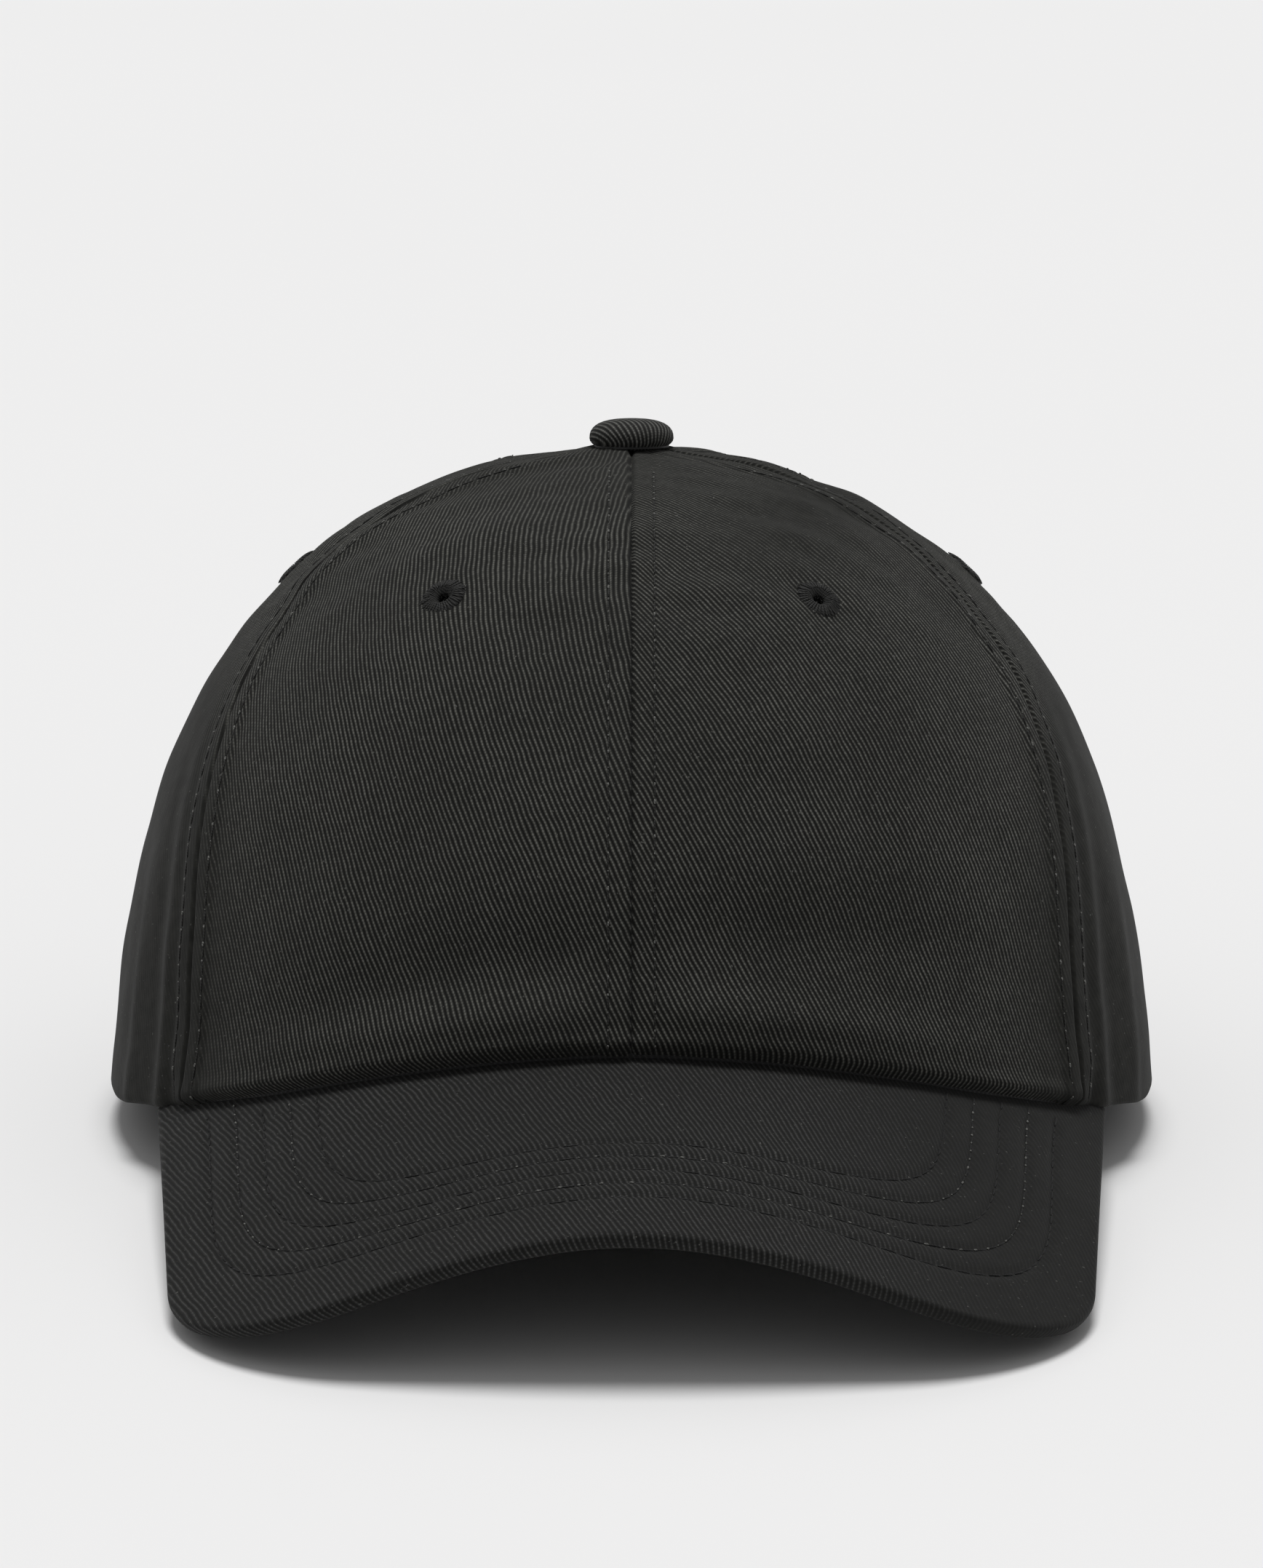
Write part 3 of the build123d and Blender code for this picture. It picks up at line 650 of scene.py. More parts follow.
def eyelet_piece(word, hand, side):
    """A padded ring through the cloth, covered on both faces by radial threads."""
    azimuth = side * EYELET_AZIMUTHS[word]
    lift = crown_lift(azimuth, EYELET_HEIGHT)
    centre = crown_point(azimuth, EYELET_HEIGHT, lift)
    outward = (centre - crown_point(azimuth, EYELET_HEIGHT, lift - 1)).normalized()
    place = Matrix.Translation(centre) @ outward.to_track_quat("Z", "Y").to_matrix().to_4x4()
    bm = bmesh.new()
    profile = [(4.1, -0.25), (3.9, 0.1), (3.2, 0.35), (2.3, EYELET_TOP), (1.5, 0.0), (1.2, -0.5),
               (1.2, -0.9), (1.6, -1.25), (2.6, EYELET_BOTTOM), (3.6, -1.2), (3.8, -0.95)]
    spin_profile(bm, profile, 0.0, 40, closed=True)
    for face, low in ((1, EYELET_TOP), (-1, EYELET_BOTTOM)):
        up = Vector((0, 0, face))
        for k in range(EYELET_THREADS):
            turn = 2 * math.pi * (k + steady.uniform(-0.18, 0.18)) / EYELET_THREADS
            inner = EYELET_HOLE - 0.25 + steady.uniform(-0.05, 0.1)
            middle = 2.4 + steady.uniform(-0.2, 0.2)
            outer = EYELET_RADIUS + steady.uniform(-0.5, 0.15)
            spot = Vector((math.cos(turn), math.sin(turn), 0)) * mm
            lean = Vector((-spot.y, spot.x, 0)) * steady.uniform(-0.12, 0.12)
            crest = spot * middle + Vector((0, 0, (low + 0.3 * face) * mm))
            down_hole = spot * inner + Vector((0, 0, (low - 0.9 * face) * mm))
            in_cloth = spot * outer + lean + Vector((0, 0, (low - 0.35 * face) * mm))
            add_stitch(bm, down_hole, crest + up * 0.1 * mm, up, 0.2)
            add_stitch(bm, crest - spot * 0.5, in_cloth, up, 0.24)
    bmesh.ops.transform(bm, matrix=place, verts=bm.verts)
    name = f"eyelet_{word}_{hand}"
    new_piece(name, bm, EMBROIDERY, "cap", [name])


for word in EYELET_AZIMUTHS:
    for side, hand in ((-1, "right"), (1, "left")):
        eyelet_piece(word, hand, side)


# ---- Button -----------------------------------------------------------------------------
# A pressed steel shell wrapped in the crown's own twill, gathered underneath, closed by a
# back plate and fixed through the top hole with a tack and a washer inside the crown.

BUTTON_RADIUS, BUTTON_HEIGHT, BUTTON_LIFT = 7.5, 5.6, 0.9
BUTTON_WAIST, BUTTON_FOOT, BUTTON_GATHERS, BUTTON_WALL = 2.1, [(5.0, 0.15), (0, -0.2)], 22, 0.6


def steel_finish(name, color, roughness, worn):
    """Pressed metal: fine drag marks, and wear where hands rub it."""
    material, tree, shader = new_finish(name, {"Metallic": 1.0})
    place = tree.nodes.new("ShaderNodeTexCoord")
    marks = soft_noise(tree, place.outputs["Object"], 700, 3)
    patches = soft_noise(tree, place.outputs["Object"], 160, 4)
    above = math_node(tree, "SUBTRACT", patches, 0.52)
    rubbed = math_node(tree, "MULTIPLY", above, 5, clamp=True)
    tree.links.new(colour_between(tree, rubbed, color, worn), shader.inputs["Base Color"])
    spread = math_node(tree, "MULTIPLY", marks, 0.3)
    tree.links.new(math_node(tree, "ADD", spread, roughness - 0.15), shader.inputs["Roughness"])
    bump = tree.nodes.new("ShaderNodeBump")
    bump.inputs["Strength"].default_value = 0.3
    bump.inputs["Distance"].default_value = 0.02 * mm
    tree.links.new(marks, bump.inputs["Height"])
    tree.links.new(bump.outputs["Normal"], shader.inputs["Normal"])
    return material


def paint_nodes(names, material):
    """Give carried-over metal parts their finish."""
    for name in names:
        materials = frame["nodes"][name].data.materials
        materials.clear()
        materials.append(material)


bm = bmesh.new()
profile = [(0, BUTTON_HEIGHT)]
for k in range(1, 15):
    a = math.radians(90 - 9 * k)
    if a > 0:
        over = (BUTTON_HEIGHT - BUTTON_WAIST) * math.sin(a) ** 0.8
        profile.append((BUTTON_RADIUS * math.cos(a) ** 0.72, BUTTON_WAIST + over))
    else:
        profile.append((BUTTON_RADIUS - 0.12 * (k - 10) ** 2, BUTTON_WAIST - 0.45 * (k - 10)))
spin_profile(bm, profile + BUTTON_FOOT, CROWN_HEIGHT + BUTTON_LIFT, 72, closed=False)
for vertex in bm.verts:
    turn = math.atan2(vertex.co.y, vertex.co.x)
    low = 1 - smooth((vertex.co.z / mm - CROWN_HEIGHT) / 2.4)
    gather = 1 + 0.03 * low * math.sin(BUTTON_GATHERS * turn + 2 * math.sin(3 * turn))
    vertex.co.x *= gather
    vertex.co.y *= gather
cloth_map = bm.loops.layers.uv.new("cloth")
for face in bm.faces:
    for loop in face.loops:
        p = loop.vert.co
        flare = 1 + 0.5 * (1 - smooth((p.z / mm - CROWN_HEIGHT) / BUTTON_HEIGHT))
        loop[cloth_map].uv = (p.x * flare, p.y * flare)
bmesh.ops.transform(bm, matrix=head, verts=bm.verts)
# The button twill's crest colour is a painted highlight on its ribs, set brighter than the crown's.
BUTTON_CLOTH = twill_cloth("button_twill", (0.008, 0.008, 0.0075), (0.19, 0.19, 0.176), relief=0.18)
new_piece("button_cover", bm, BUTTON_CLOTH, "cap", ["button_cover"], wall=BUTTON_WALL)
BUTTON_STEEL = steel_finish("button_steel", (0.03, 0.03, 0.03), 0.5, (0.045, 0.045, 0.045))
paint_nodes(("button_shell", "button_back_plate", "button_tack", "button_washer"), BUTTON_STEEL)


# ---- Brim -------------------------------------------------------------------------------
# A moulded board between two covers of the same twill. The upper cover runs over the edge
# and down to its seam with the under cover. Five rows of stitching go round the brim.

BRIM_FRONT_RADIUS, BRIM_CORNER_RADIUS, SIDE_SLANT = 298.0, 38.0, 0.078
BRIM_THICKNESS, COVER_WALL, COVER_WIDTH, COVER_LENGTH, COVER_SHARE = 2.7, 0.5, 186, 126, 0.72
COVER_SWELL, UNDER_SWELL, BRIM_ROW_DEPTH, BRIM_ROW_SPREAD = 0.25, 0.3, 0.5, 0.75
BRIM_PITCH, BRIM_FILL, BRIM_THREAD_THICKNESS, BRIM_PROUD, BRIM_PATH_STEPS = 3.4, 0.9, 0.2, 0.06, 2400
SIDE_STEPS, CORNER_STEPS = 60, 30
ROW_COUNT, ROW_CENTRE_Y, ROW_POWER, ROW_WAIST = 5, -58.0, 4.5, 0.03
ROW_HALF_WIDTH, ROW_WIDTH_STEP, ROW_REACH, ROW_REACH_STEP = 54.8, 4.6, 68.4, 5.4


def brim_surface(x, y, lift=0.0):
    """Point of the brim's upper face in metres, moved outward by lift mm, and its normal."""
    z, step = brim_height(x, y), 0.01
    normal = Vector((z - brim_height(x + step, y), z - brim_height(x, y + step), step)).normalized()
    point = Vector((x, y, z)) + normal * lift
    return head @ (point * mm), head.to_3x3() @ normal


def brim_flat(x, y):
    """The same point on the cut cloth, in metres, with the brim's curve laid flat."""
    steps, length, last = 12, 0.0, (0.0, brim_height(0, y))
    for k in range(1, steps + 1):
        here = (x * k / steps, brim_height(x * k / steps, y))
        length += math.hypot(here[0] - last[0], here[1] - last[1])
        last = here
    return math.copysign(length, x) * mm, y / math.cos(BRIM_SLOPE) * mm


def brim_outline(inset, tuck):
    """Half of the brim's edge: joint end, side, round corner, and front to the middle."""
    reach, radius = BRIM_REACH - inset, BRIM_CORNER_RADIUS - inset
    foot = Vector((BRIM_END_X - inset, crown_plan(BRIM_END_AZIMUTH, tuck).y))
    run = Vector((-SIDE_SLANT, -1)).normalized()
    inward = Vector((-run.y, run.x)) * -1
    ring_centre = Vector((0, BRIM_FRONT_RADIUS - reach))
    inner = BRIM_FRONT_RADIUS - radius
    base = foot + inward * radius - ring_centre
    b = base.dot(run)
    along = -b + math.sqrt(b * b - base.length_squared + inner * inner)
    corner = foot + inward * radius + run * along
    tangent_side = corner - inward * radius
    out = (corner - ring_centre).normalized()
    first = math.atan2((tangent_side - corner).y, (tangent_side - corner).x)
    last = math.atan2(out.y, out.x)
    points = [foot.lerp(tangent_side, k / SIDE_STEPS) for k in range(SIDE_STEPS + 1)]
    for k in range(1, CORNER_STEPS + 1):
        a = first + (last - first) * k / CORNER_STEPS
        points.append(corner + radius * Vector((math.cos(a), math.sin(a))))
    for k in range(1, SIDE_STEPS + 1):
        a = last + (-math.pi / 2 - last) * k / SIDE_STEPS
        points.append(ring_centre + BRIM_FRONT_RADIUS * Vector((math.cos(a), math.sin(a))))
    return points, SIDE_STEPS + 1 + CORNER_STEPS // 2


def crown_plan(azimuth, tuck):
    """Plan of the joint between crown and brim, tuck mm in from the crown's outer cloth."""
    a = math.radians(azimuth)
    r = dome_radius(rim_height(azimuth) / CROWN_HEIGHT)
    return Vector(((HALF_WIDTH * r - tuck) * math.sin(a), -(FRONT_LENGTH * r - tuck) * math.cos(a)))


def walk(points, share):
    """Point at a share of the way along a list of points, and the direction there."""
    lengths = [0.0]
    for a, b in zip(points, points[1:]):
        lengths.append(lengths[-1] + (b - a).length)
    target = share * lengths[-1]
    for k in range(1, len(points)):
        if lengths[k] >= target or k == len(points) - 1:
            span = lengths[k] - lengths[k - 1]
            f = (target - lengths[k - 1]) / span if span else 0.0
            direction = (points[k] - points[k - 1]).normalized()
            return points[k - 1].lerp(points[k], min(max(f, 0), 1)), direction


def row_size(k):
    """Half width and reach of stitch row k, counted from the inside."""
    return ROW_HALF_WIDTH + ROW_WIDTH_STEP * k, ROW_REACH + ROW_REACH_STEP * k


def row_point(k, turn):
    """Plan of stitch row k: a square-shouldered arch with a slight waist, turn from 0 to pi."""
    a, b = row_size(k)
    c, s = math.cos(turn), math.sin(turn)
    forward = abs(s) ** (2 / ROW_POWER)
    waist = 1 - ROW_WAIST * math.sin(math.pi * forward)
    return a * math.copysign(abs(c) ** (2 / ROW_POWER), c) * waist, ROW_CENTRE_Y - b * forward


def brim_rows_lift(x, y):
    """Quilting of the cover by its rows of stitches, in mm, fading out at the crown."""
    lift = 0.0
    clear = smooth(((x / HALF_WIDTH) ** 2 + (y / FRONT_LENGTH) ** 2 - 1.02) / 0.12)
    for k in range(ROW_COUNT):
        a, b = row_size(k)
        forward = max(ROW_CENTRE_Y - y, 0.0) / b
        wide = abs(x) / a / (1 - ROW_WAIST * math.sin(math.pi * min(forward, 1)))
        q = (wide ** ROW_POWER + forward ** ROW_POWER) ** (1 / ROW_POWER)
        distance = (q - 1) * min(a, b)
        lift -= BRIM_ROW_DEPTH * bell(distance / BRIM_ROW_SPREAD) * clear
    return lift


def cover_swell(x, y):
    """Slow unevenness of the whole brim, in mm."""
    return COVER_SWELL * noise.noise(Vector((x, y, 3)) / 22)


def brim_rub(x, y, z):
    """The twill is worn smooth towards the wearer's left."""
    return 0.85 * smooth((x - 26) / 34)


def brim_layer(name, inset, tuck, depth, roll, material, columns, rows, wall=COVER_WALL):
    """One layer of the brim: a patch over its plan, then its edge rolled over in steps."""
    edge, mid = brim_outline(inset, tuck)
    side, front_half = edge[:mid + 1], edge[mid:]
    front = [Vector((-p.x, p.y)) for p in front_half] + list(reversed(front_half))[1:]
    joint = [crown_plan(BRIM_END_AZIMUTH * (2 * k / SIDE_STEPS - 1), tuck) for k in range(SIDE_STEPS + 1)]
    joint[0], joint[-1] = Vector((-side[0].x, side[0].y)), side[0].copy()
    sides = [walk(side, k / rows) for k in range(rows + 1)]
    fronts = [walk(front, k / columns) for k in range(columns + 1)]
    joints = [walk(joint, k / columns) for k in range(columns + 1)]
    bm = cloth_grid(columns, rows)
    plan, flat, outer = {}, {}, {}
    for vertex in bm.verts:
        s, t = vertex.co.x + 0.5, 0.5 - vertex.co.y
        i, j = round(s * columns), round(t * rows)
        right = sides[j][0]
        left = Vector((-right.x, right.y))
        corners = joints[0][0].lerp(joints[-1][0], s) * (1 - t) + fronts[0][0].lerp(fronts[-1][0], s) * t
        p = joints[i][0] * (1 - t) + fronts[i][0] * t + left.lerp(right, s) - corners
        plan[vertex] = p
        flat[vertex] = brim_flat(p.x, p.y)
        if i in (0, columns) and j > 0:
            along = sides[j][1]
            normal = Vector((-along.y, along.x))
            outer[vertex] = Vector((normal.x if i else -normal.x, normal.y))
        elif j == rows:
            along = fronts[i][1]
            outer[vertex] = Vector((along.y, -along.x))
        if depth == 0:
            lift = brim_rows_lift(p.x, p.y)
        else:
            lift = depth + UNDER_SWELL * noise.noise(Vector((p.x, p.y, 9)) / 14)
        vertex.co = brim_surface(p.x, p.y, lift + cover_swell(p.x, p.y))[0]
    front_edges = [e for e in bm.edges if e.is_boundary and all(v in outer for v in e.verts)]
    for k, (out, drop) in enumerate(roll):
        made = bmesh.ops.extrude_edge_only(bm, edges=front_edges)["geom"]
        old = {v for e in front_edges for v in e.verts}
        last_out, last_drop = roll[k - 1] if k else (0, 0)
        stretch = math.hypot(out - last_out, drop - last_drop) * mm
        for vertex in (g for g in made if isinstance(g, bmesh.types.BMVert)):
            parent = next(e.other_vert(vertex) for e in vertex.link_edges if e.other_vert(vertex) in old)
            n = outer[parent]
            plan[vertex] = plan[parent]
            outer[vertex] = n
            base, normal = brim_surface(plan[parent].x + n.x * out, plan[parent].y + n.y * out, depth)
            vertex.co = base - normal * drop * mm
            flat[vertex] = (flat[parent][0] + n.x * stretch, flat[parent][1] + n.y * stretch)
        front_edges = [g for g in made if isinstance(g, bmesh.types.BMEdge)]
    lay_cloth(bm, flat)
    bmesh.ops.recalc_face_normals(bm, faces=bm.faces)
    up = sum((f.normal * f.calc_area() for f in bm.faces), Vector()).z > 0
    if up != (depth == 0):
        bmesh.ops.reverse_faces(bm, faces=bm.faces)
    return new_piece(name, bm, material, "cap", [name], wall=wall)


def brim_cover(name, inset, depth, roll, columns, rows):
    """A cloth cover of the brim, cut from a rectangle of twill."""
    piece = brim_layer(name, inset, 2.0, depth, roll, BRIM_CLOTH, columns, rows)
    add_rubbed(piece.data, brim_rub)


BRIM_CLOTH = twill_cloth("brim_twill", (0.0065, 0.0065, 0.006), (0.055, 0.055, 0.0535),
                         rib_pitch=0.93, slant=107.5)
over_edge = [(0.4, 0.05), (0.75, 0.2), (0.95, 0.45), (1.05, 0.8), (1.05, 1.3), (1.0, 1.8), (0.88, 2.3),
             (0.55, 2.62)]
under_edge = [(0.35, -0.05), (0.6, -0.25)]
brim_cover("brim_upper_cover", 1.0, 0, over_edge, 230, 96)
brim_cover("brim_under_cover", 1.1, 0.45 - BRIM_THICKNESS, under_edge, 120, 60)

BOARD_PLASTIC = plain_finish("board_plastic", (0.03, 0.03, 0.03), 0.5)
brim_layer("brim_board", 2.4, 3.0, -1.74, [], BOARD_PLASTIC, 90, 45, wall=0.35)

rows, ends = bmesh.new(), bmesh.new()
for k in range(ROW_COUNT):
    path = []
    for i in range(BRIM_PATH_STEPS + 1):
        x, y = row_point(k, math.pi * i / BRIM_PATH_STEPS)
        radius = HALF_WIDTH * dome_radius(0.02)
        if (x / radius) ** 2 + (y / FRONT_LENGTH) ** 2 > 1.0:
            lift = brim_rows_lift(x, y) + cover_swell(x, y) + BRIM_PROUD
            path.append(brim_surface(x, y, lift))
    # Every other row gets pale spindles at its stitch ends: painted highlights where the thread goes down.
    stitch_along(rows, path, pitch=BRIM_PITCH, thickness=BRIM_THREAD_THICKNESS, fill=BRIM_FILL,
                 end_highlights=ends if k % 2 else None)
BRIM_THREAD = thread_finish("brim_thread", (0.004, 0.004, 0.004), (0.016, 0.016, 0.016))
new_piece("brim_stitching", rows, BRIM_THREAD, "cap", [])
# The pale spindles at the brim's stitch ends are painted highlights.
new_piece("brim_stitch_end_highlights", ends, STITCH_END_HIGHLIGHT, "cap", [])


# ---- Seam tapes -------------------------------------------------------------------------
# Woven black cotton tape, 12 mm wide, sewn over the raw edges of every crown seam inside
# and narrowed where all six run together under the button.

TAPE_WIDTH, TAPE_WALL, TAPE_DEPTH, TAPE_TOP, TAPE_SHARE = 12.0, 0.4, 0.8, 0.9965, 0.92
SIDE_TAPE_LENGTH, RIM_TO_TAPE = 158, 2


def fine_cloth(name, valley, crest, pitch):
    """Close plain weave or tape on a piece's own cloth map."""
    return twill_cloth(name, valley, crest, rib_pitch=pitch, relief=0.06, sheen=0.1)


TAPE_CLOTH = fine_cloth("woven_tape", (0.008, 0.008, 0.008), (0.035, 0.035, 0.034), 0.5)


def tape_piece(name, seam, side, start):
    """Tape along one seam from start mm up to the top, narrowed where the tapes meet."""
    bm = cloth_grid(10, 90)
    flat = {}
    end = TAPE_TOP * CROWN_HEIGHT
    for vertex in bm.verts:
        u, v = vertex.co.x * 2, vertex.co.y + 0.5
        z = start + (end - start) * math.sin(v * math.pi / 2) ** 1.1
        t = z / CROWN_HEIGHT
        radius = HALF_WIDTH * dome_radius(t)
        half = min(TAPE_WIDTH / 2, radius * math.radians(24))
        azimuth = side * seam(t) + math.degrees(u * half / radius)
        ripple = 0.12 * noise.noise(Vector((u * 3, z / 6, side + 2 * len(name))))
        vertex.co = crown_point(azimuth, z, -TAPE_DEPTH - ripple)
        flat[vertex] = (u * half * mm, z * mm * 1.2)
    lay_cloth(bm, flat)
    bmesh.ops.reverse_faces(bm, faces=bm.faces)
    piece = new_piece(name, bm, TAPE_CLOTH, "cap", [name], wall=TAPE_WALL, offset=1.0)


for side, hand in ((-1, "right"), (1, "left")):
    tape_piece(f"seam_tape_front_{hand}", front_seam, side, rim_height(FRONT_SEAM) + RIM_TO_TAPE)
    tape_piece(f"seam_tape_rear_{hand}", rear_seam, side, rim_height(REAR_SEAM) + RIM_TO_TAPE)
tape_piece("seam_tape_front_centre", centre_front, 1, rim_height(0) + RIM_TO_TAPE)
tape_piece("seam_tape_rear_centre", centre_rear, 1, OPENING_HEIGHT + BINDING_CLEARANCE)


# ---- Sweatband --------------------------------------------------------------------------
# A strip of brushed twill over soft felt, sewn along the rim and turned up inside. It ends
# at each side of the rear opening. A blank satin care label is caught under its top edge.

BAND_HEIGHT, BAND_END, BAND_WALL, BAND_LENGTH, BAND_CUT = 31.0, 149.0, 0.55, 470, 38
FELT_END, FELT_THICKNESS, FELT_FILL = 114, 2.3, 0.5
LABEL_AZIMUTH, LABEL_TURN, LABEL_LOW, LABEL_WIDTH, LABEL_HEIGHT, LABEL_DEPTH = 131, 12, 6, 19, 18, 5.15


def band_piece(name, azimuth, outline, wall, material, columns):
    """Strip round the inside of the rim. outline gives (depth, height) up the band."""
    rows = len(outline) - 1
    bm = cloth_grid(columns, rows)
    flat = {}
    for vertex in bm.verts:
        a = 2 * azimuth * vertex.co.x
        depth, height = outline[round((vertex.co.y + 0.5) * rows)]
        under_brim = BRIM_THICKNESS * (1 - smooth((abs(a) - 50) / 20))
        bottom = max(rim_height(a), -0.6 if abs(a) < 112 else 0) + 0.4 - under_brim
        top = BAND_HEIGHT + 0.45 * rim_height(a)
        z = bottom + (top - bottom) * height / BAND_HEIGHT
        ripple = 0.35 * noise.noise(Vector((a / 4, height / 9, 5))) * smooth(height / 8)
        vertex.co = crown_point(a, z, -depth + ripple)
        flat[vertex] = (math.radians(a) * 90 * mm, height * mm)
    lay_cloth(bm, flat)
    bmesh.ops.reverse_faces(bm, faces=bm.faces)
    return new_piece(name, bm, material, "cap", [name], wall=wall)


BAND_CLOTH = twill_cloth("brushed_twill", (0.010, 0.010, 0.010), (0.05, 0.05, 0.048),
                         rib_pitch=0.6, relief=0.08)
FELT = fine_cloth("needled_felt", (0.02, 0.02, 0.02), (0.05, 0.05, 0.05), 0.9)
face_outline = [(1.2, 0.9), (2.2, 0.15), (3.4, 0.0), (4.4, 0.8), (4.85, 2.4), (4.95, 5), (4.9, 9),
                (4.85, 14), (4.85, 19), (4.9, 24), (4.95, 27.2), (4.75, 28.2), (4.95, 29.2), (4.8, 30.6),
                (4.4, 31)]
facing = band_piece("sweatband_facing", BAND_END, face_outline, BAND_WALL, BAND_CLOTH, 300)
felt_outline = [(3.9, 2.0), (4.0, 8), (4.0, 15), (4.0, 22), (3.9, 29)]
felt = band_piece("sweatband_interlining", FELT_END, felt_outline, FELT_THICKNESS, FELT, 160)

bm = cloth_grid(14, 20)
flat = {}
for vertex in bm.verts:
    x, y = vertex.co.x + 0.5, vertex.co.y + 0.5
    stand = LABEL_DEPTH + 0.3 * math.sin(math.pi * y) * x
    vertex.co = crown_point(LABEL_AZIMUTH + LABEL_TURN * x, LABEL_LOW + LABEL_HEIGHT * y, -stand)
    flat[vertex] = (vertex.co.x, vertex.co.z)
lay_cloth(bm, flat)
bmesh.ops.reverse_faces(bm, faces=bm.faces)
LABEL_SATIN = fine_cloth("label_satin", (0.5, 0.5, 0.48), (0.68, 0.68, 0.66), 0.35)
label = new_piece("care_label", bm, LABEL_SATIN, "cap", ["care_label"], wall=0.25)


# ---- Rear opening -----------------------------------------------------------------------
# The half-moon above the strap, its raw edge wrapped in folded cotton tape with one row of
# stitches close to the tape's outer edge.

BINDING_CUT, BINDING_LENGTH, BINDING_WALL, BINDING_ROW = 13, 148, 0.3, 3.6


def opening_point(turn, out, lift):
    """Point beside the half-moon: turn round it in radians, out mm beyond its edge."""
    edge = Vector((OPENING_HALF_WIDTH * math.cos(turn), OPENING_HEIGHT * math.sin(turn)))
    normal = Vector((math.cos(turn) / OPENING_HALF_WIDTH, math.sin(turn) / OPENING_HEIGHT)).normalized()
    x, z = edge + normal * out
    share = x / (HALF_WIDTH * dome_radius(z / CROWN_HEIGHT))
    azimuth = 180 - math.degrees(math.asin(share))
    azimuth = azimuth if azimuth <= 180 else azimuth - 360
    above_roll = max(z, 6.0)
    return azimuth, z, crown_lift(azimuth, above_roll) + lift


fold = [(5.0, 0.15), (4.9, 0.5), (3.6, 0.42), (2.0, 0.6), (0.4, 0.62), (-0.35, 0.3), (-0.6, -0.35),
        (-0.35, -1.0), (0.4, -1.3), (2.0, -1.3), (3.6, -1.25), (4.9, -1.2)]
across = len(fold) - 1
bm = cloth_grid(170, across)
flat = {}
for vertex in bm.verts:
    turn = math.pi * (vertex.co.x + 0.5)
    k = round((vertex.co.y + 0.5) * across)
    out, lift = fold[k]
    lift += 0.1 * noise.noise(Vector((turn * 9, k / 3, 1)))
    azimuth, z, height = opening_point(turn, out, lift)
    vertex.co = crown_point(azimuth, max(z, 0.3), height)
    flat[vertex] = (turn * 45 * mm, k * 1.1 * mm)
lay_cloth(bm, flat)
BINDING_CLOTH = fine_cloth("binding_tape", (0.009, 0.009, 0.009), (0.045, 0.045, 0.043), 0.6)
binding = new_piece("opening_binding", bm, BINDING_CLOTH, "cap", ["opening_binding"],
                    wall=BINDING_WALL)

rows = bmesh.new()
path = []
for i in range(1201):
    azimuth, z, height = opening_point(0.06 + (math.pi - 0.12) * i / 1200, BINDING_ROW, 0.5)
    point = crown_point(azimuth, z, height)
    path.append((point, (point - crown_point(azimuth, z, height - 1)).normalized()))
stitch_along(rows, path)
new_piece("topstitch_opening", rows, THREAD, "cap", [])


# ---- Strap and clasp tab ----------------------------------------------------------------
# Two layers of the crown's twill, turned in and stitched along both edges. The strap runs
# from a sleeve on the wearer's right, through the clasp, into a sleeve on the left.

STRAP_CENTRE_Y = 6.0
STRAP_LOW, STRAP_HIGH = 3.0, 23.0
STRAP_ANGLES, STRAP_WIDTH, STRAP_LENGTH = (-52.0, 48.0), 20, 154
STRAP_ROW_INSET, STRAP_ROW_ANGLES = 1.6, (-49, 45)
CLASP_ANGLE, BAR_T, LOOP_RADIUS = 10.0, 14.2, 1.4
TAB_INNER_DEPTH, TAB_DEPTH, TAB_LOW, TAB_HIGH, TAB_END = 2.3, 1.98, 3.7, 22.3, 44.0
TAB_LOOP, TAB_WALL, TAB_WIDTH, TAB_LENGTH = 1.05, 0.6, 18.6, 35


def strap_radius(z):
    """Radius of the strap's place in the crown's rear at height z, in mm."""
    return REAR_LENGTH * dome_radius(z / CROWN_HEIGHT) - STRAP_CENTRE_Y


def strap_point(angle, z, depth):
    """Point on the strap's cone: angle in degrees from the rear centre, towards +X."""
    slant = (strap_radius(STRAP_HIGH) - strap_radius(STRAP_LOW)) / (STRAP_HIGH - STRAP_LOW)
    r = strap_radius(STRAP_LOW) + slant * (z - STRAP_LOW) - depth
    a = math.radians(angle)
    return head @ (Vector((r * math.sin(a), STRAP_CENTRE_Y + r * math.cos(a), z)) * mm)


STRAP_CLOTH = twill_cloth("strap_twill", (0.0095, 0.0095, 0.009), (0.075, 0.074, 0.07))
section = []
for k in range(9):
    a = math.pi * k / 8
    section.append((STRAP_LOW + 0.6 - 0.6 * math.sin(a), 3.2 - 0.55 * math.cos(a)))
top = [(STRAP_HIGH - (z - STRAP_LOW), depth) for z, depth in reversed(section)]
edge_dips = (0.8, 1.6, 2.4, 4.0, 7.0, 10.0, 13.0, 16.0, 17.6, 18.4, 19.2)
inner = [(STRAP_LOW + d, 3.75 - (0.16 if d in (1.6, 18.4) else 0.0)) for d in edge_dips]
outer = [(STRAP_LOW + d, 2.65 + (0.2 if d in (1.6, 18.4) else 0.0)) for d in reversed(edge_dips)]
loop_profile = section + inner + top + outer
bm = cloth_grid(120, len(loop_profile))
flat = {}
for vertex in bm.verts:
    share = vertex.co.x + 0.5
    k = round((vertex.co.y + 0.5) * len(loop_profile))
    z, depth = loop_profile[k % len(loop_profile)]
    angle = STRAP_ANGLES[0] + (STRAP_ANGLES[1] - STRAP_ANGLES[0]) * share
    vertex.co = strap_point(angle, z, depth)
    flat[vertex] = (-math.radians(angle) * 88 * mm, z * mm)
lay_cloth(bm, flat)
bmesh.ops.remove_doubles(bm, verts=bm.verts, dist=1e-6)
ends = [e for e in bm.edges if e.is_boundary]
bmesh.ops.holes_fill(bm, edges=ends, sides=0)
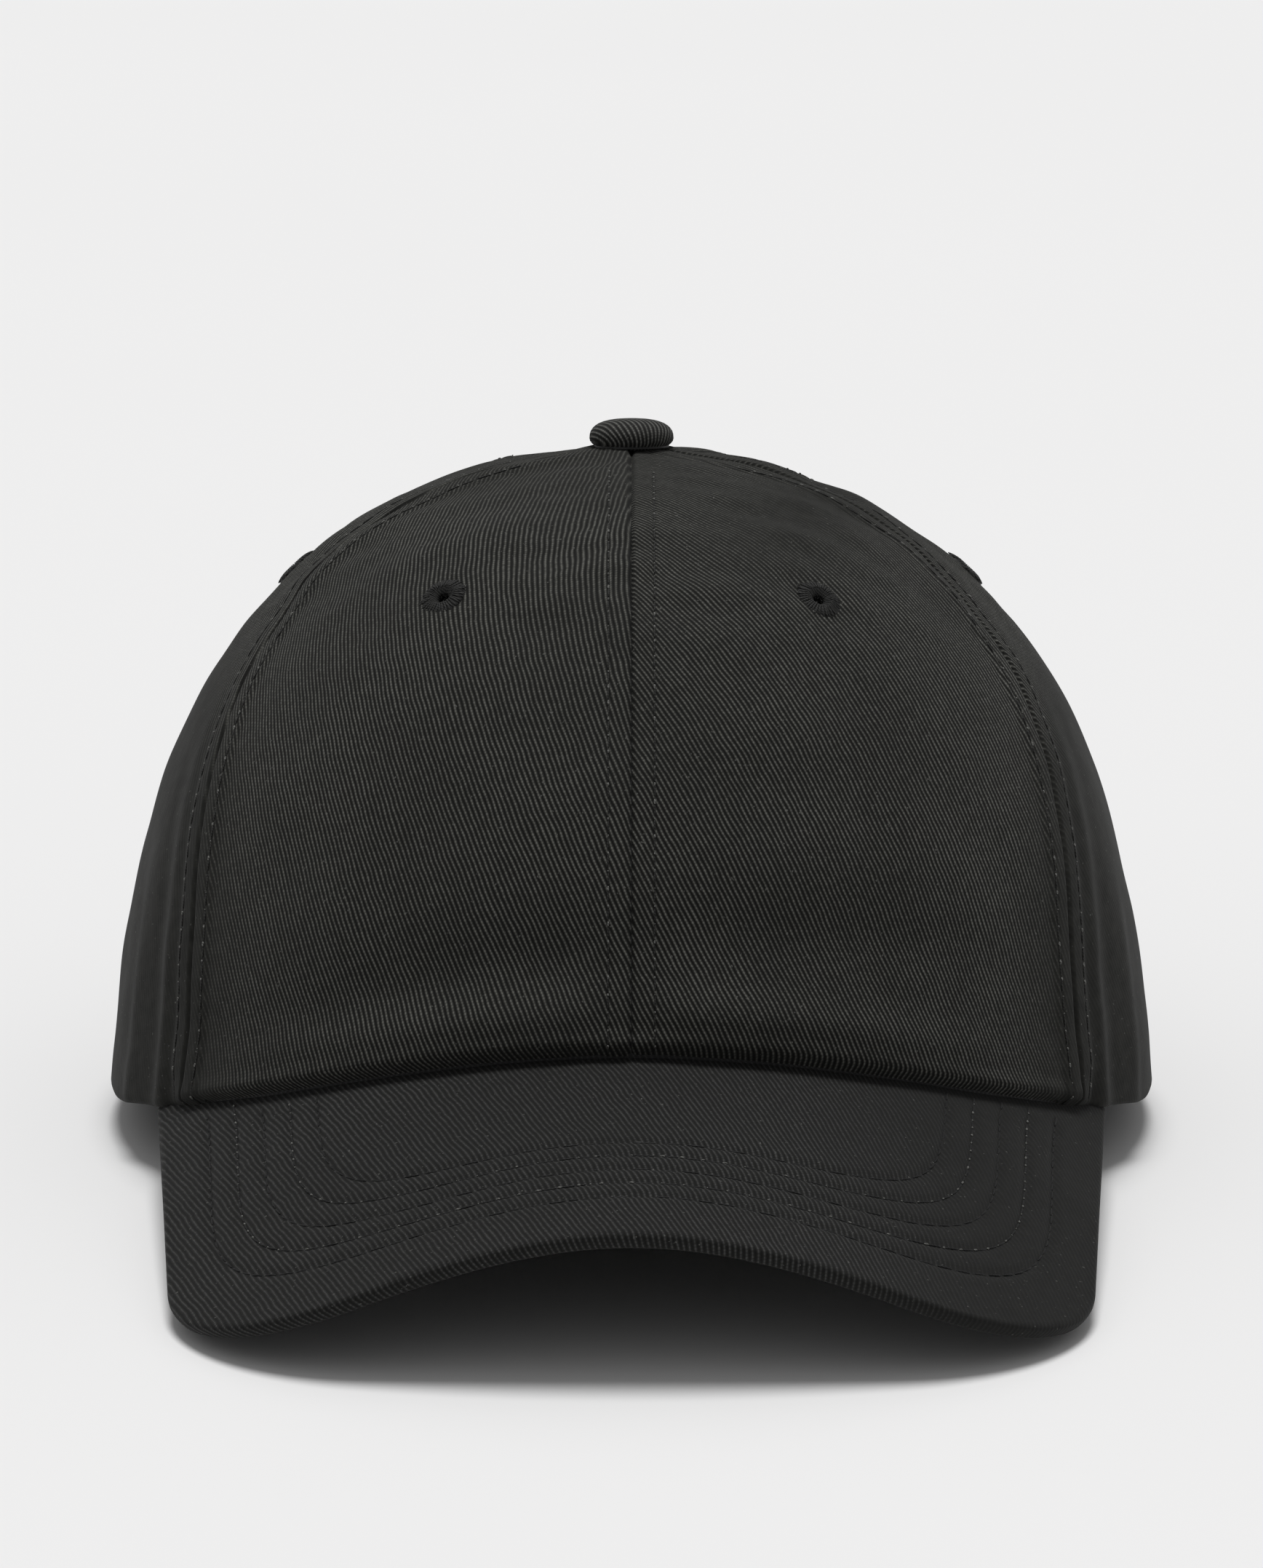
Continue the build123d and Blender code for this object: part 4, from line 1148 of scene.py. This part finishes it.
bmesh.ops.recalc_face_normals(bm, faces=bm.faces)
strap = new_piece("strap", bm, STRAP_CLOTH, "adjusting_strap", ["strap"])

rows = bmesh.new()
first_angle, last_angle = STRAP_ROW_ANGLES
for z in (STRAP_LOW + STRAP_ROW_INSET, STRAP_HIGH - STRAP_ROW_INSET):
    for depth, face in ((2.72, 1), (3.72, -1)):
        path = []
        for i in range(1201):
            angle = first_angle + (last_angle - first_angle) * i / 1200
            point = strap_point(angle, z, depth)
            path.append((point, (point - strap_point(angle, z, depth + face)).normalized()))
        stitch_along(rows, path)
new_piece("strap_stitching", rows, THREAD, "adjusting_strap", [])

middle = (STRAP_LOW + STRAP_HIGH) / 2
radius = strap_radius(middle) - TAB_INNER_DEPTH
bar_angle = CLASP_ANGLE + math.degrees(math.asin(BAR_T / radius))
bar_depth = TAB_INNER_DEPTH - LOOP_RADIUS
path = [(TAB_END - (TAB_END - bar_angle) * k / 24, TAB_DEPTH) for k in range(24)]
for k in range(15):
    a = math.radians(-90 - 18 * k)
    path.append((bar_angle + math.degrees(TAB_LOOP * math.cos(a) / 88), bar_depth - TAB_LOOP * math.sin(a)))
bm = cloth_grid(len(path) - 1, 12)
flat = {}
for vertex in bm.verts:
    k = round((vertex.co.x + 0.5) * (len(path) - 1))
    share = vertex.co.y + 0.5
    angle, depth = path[k]
    z = TAB_LOW + (TAB_HIGH - TAB_LOW) * share
    vertex.co = strap_point(angle, z, depth)
    flat[vertex] = (k * 0.8 * mm, z * mm)
lay_cloth(bm, flat)
tab = new_piece("clasp_tab", bm, STRAP_CLOTH, "cap", ["clasp_tab"], wall=TAB_WALL, offset=0.0)


# ---- Clasp ------------------------------------------------------------------------------
# A small pressed steel buckle, painted satin black: a frame with two cheeks and a bar for
# the tab, and a lever that turns on a pin and nips the strap when it is shut.

CLASP_PAINT = steel_finish("clasp_black", (0.03, 0.03, 0.031), 0.4, (0.042, 0.042, 0.042))
paint_nodes(("clasp_frame", "clasp_lever", "clasp_pin"), CLASP_PAINT)
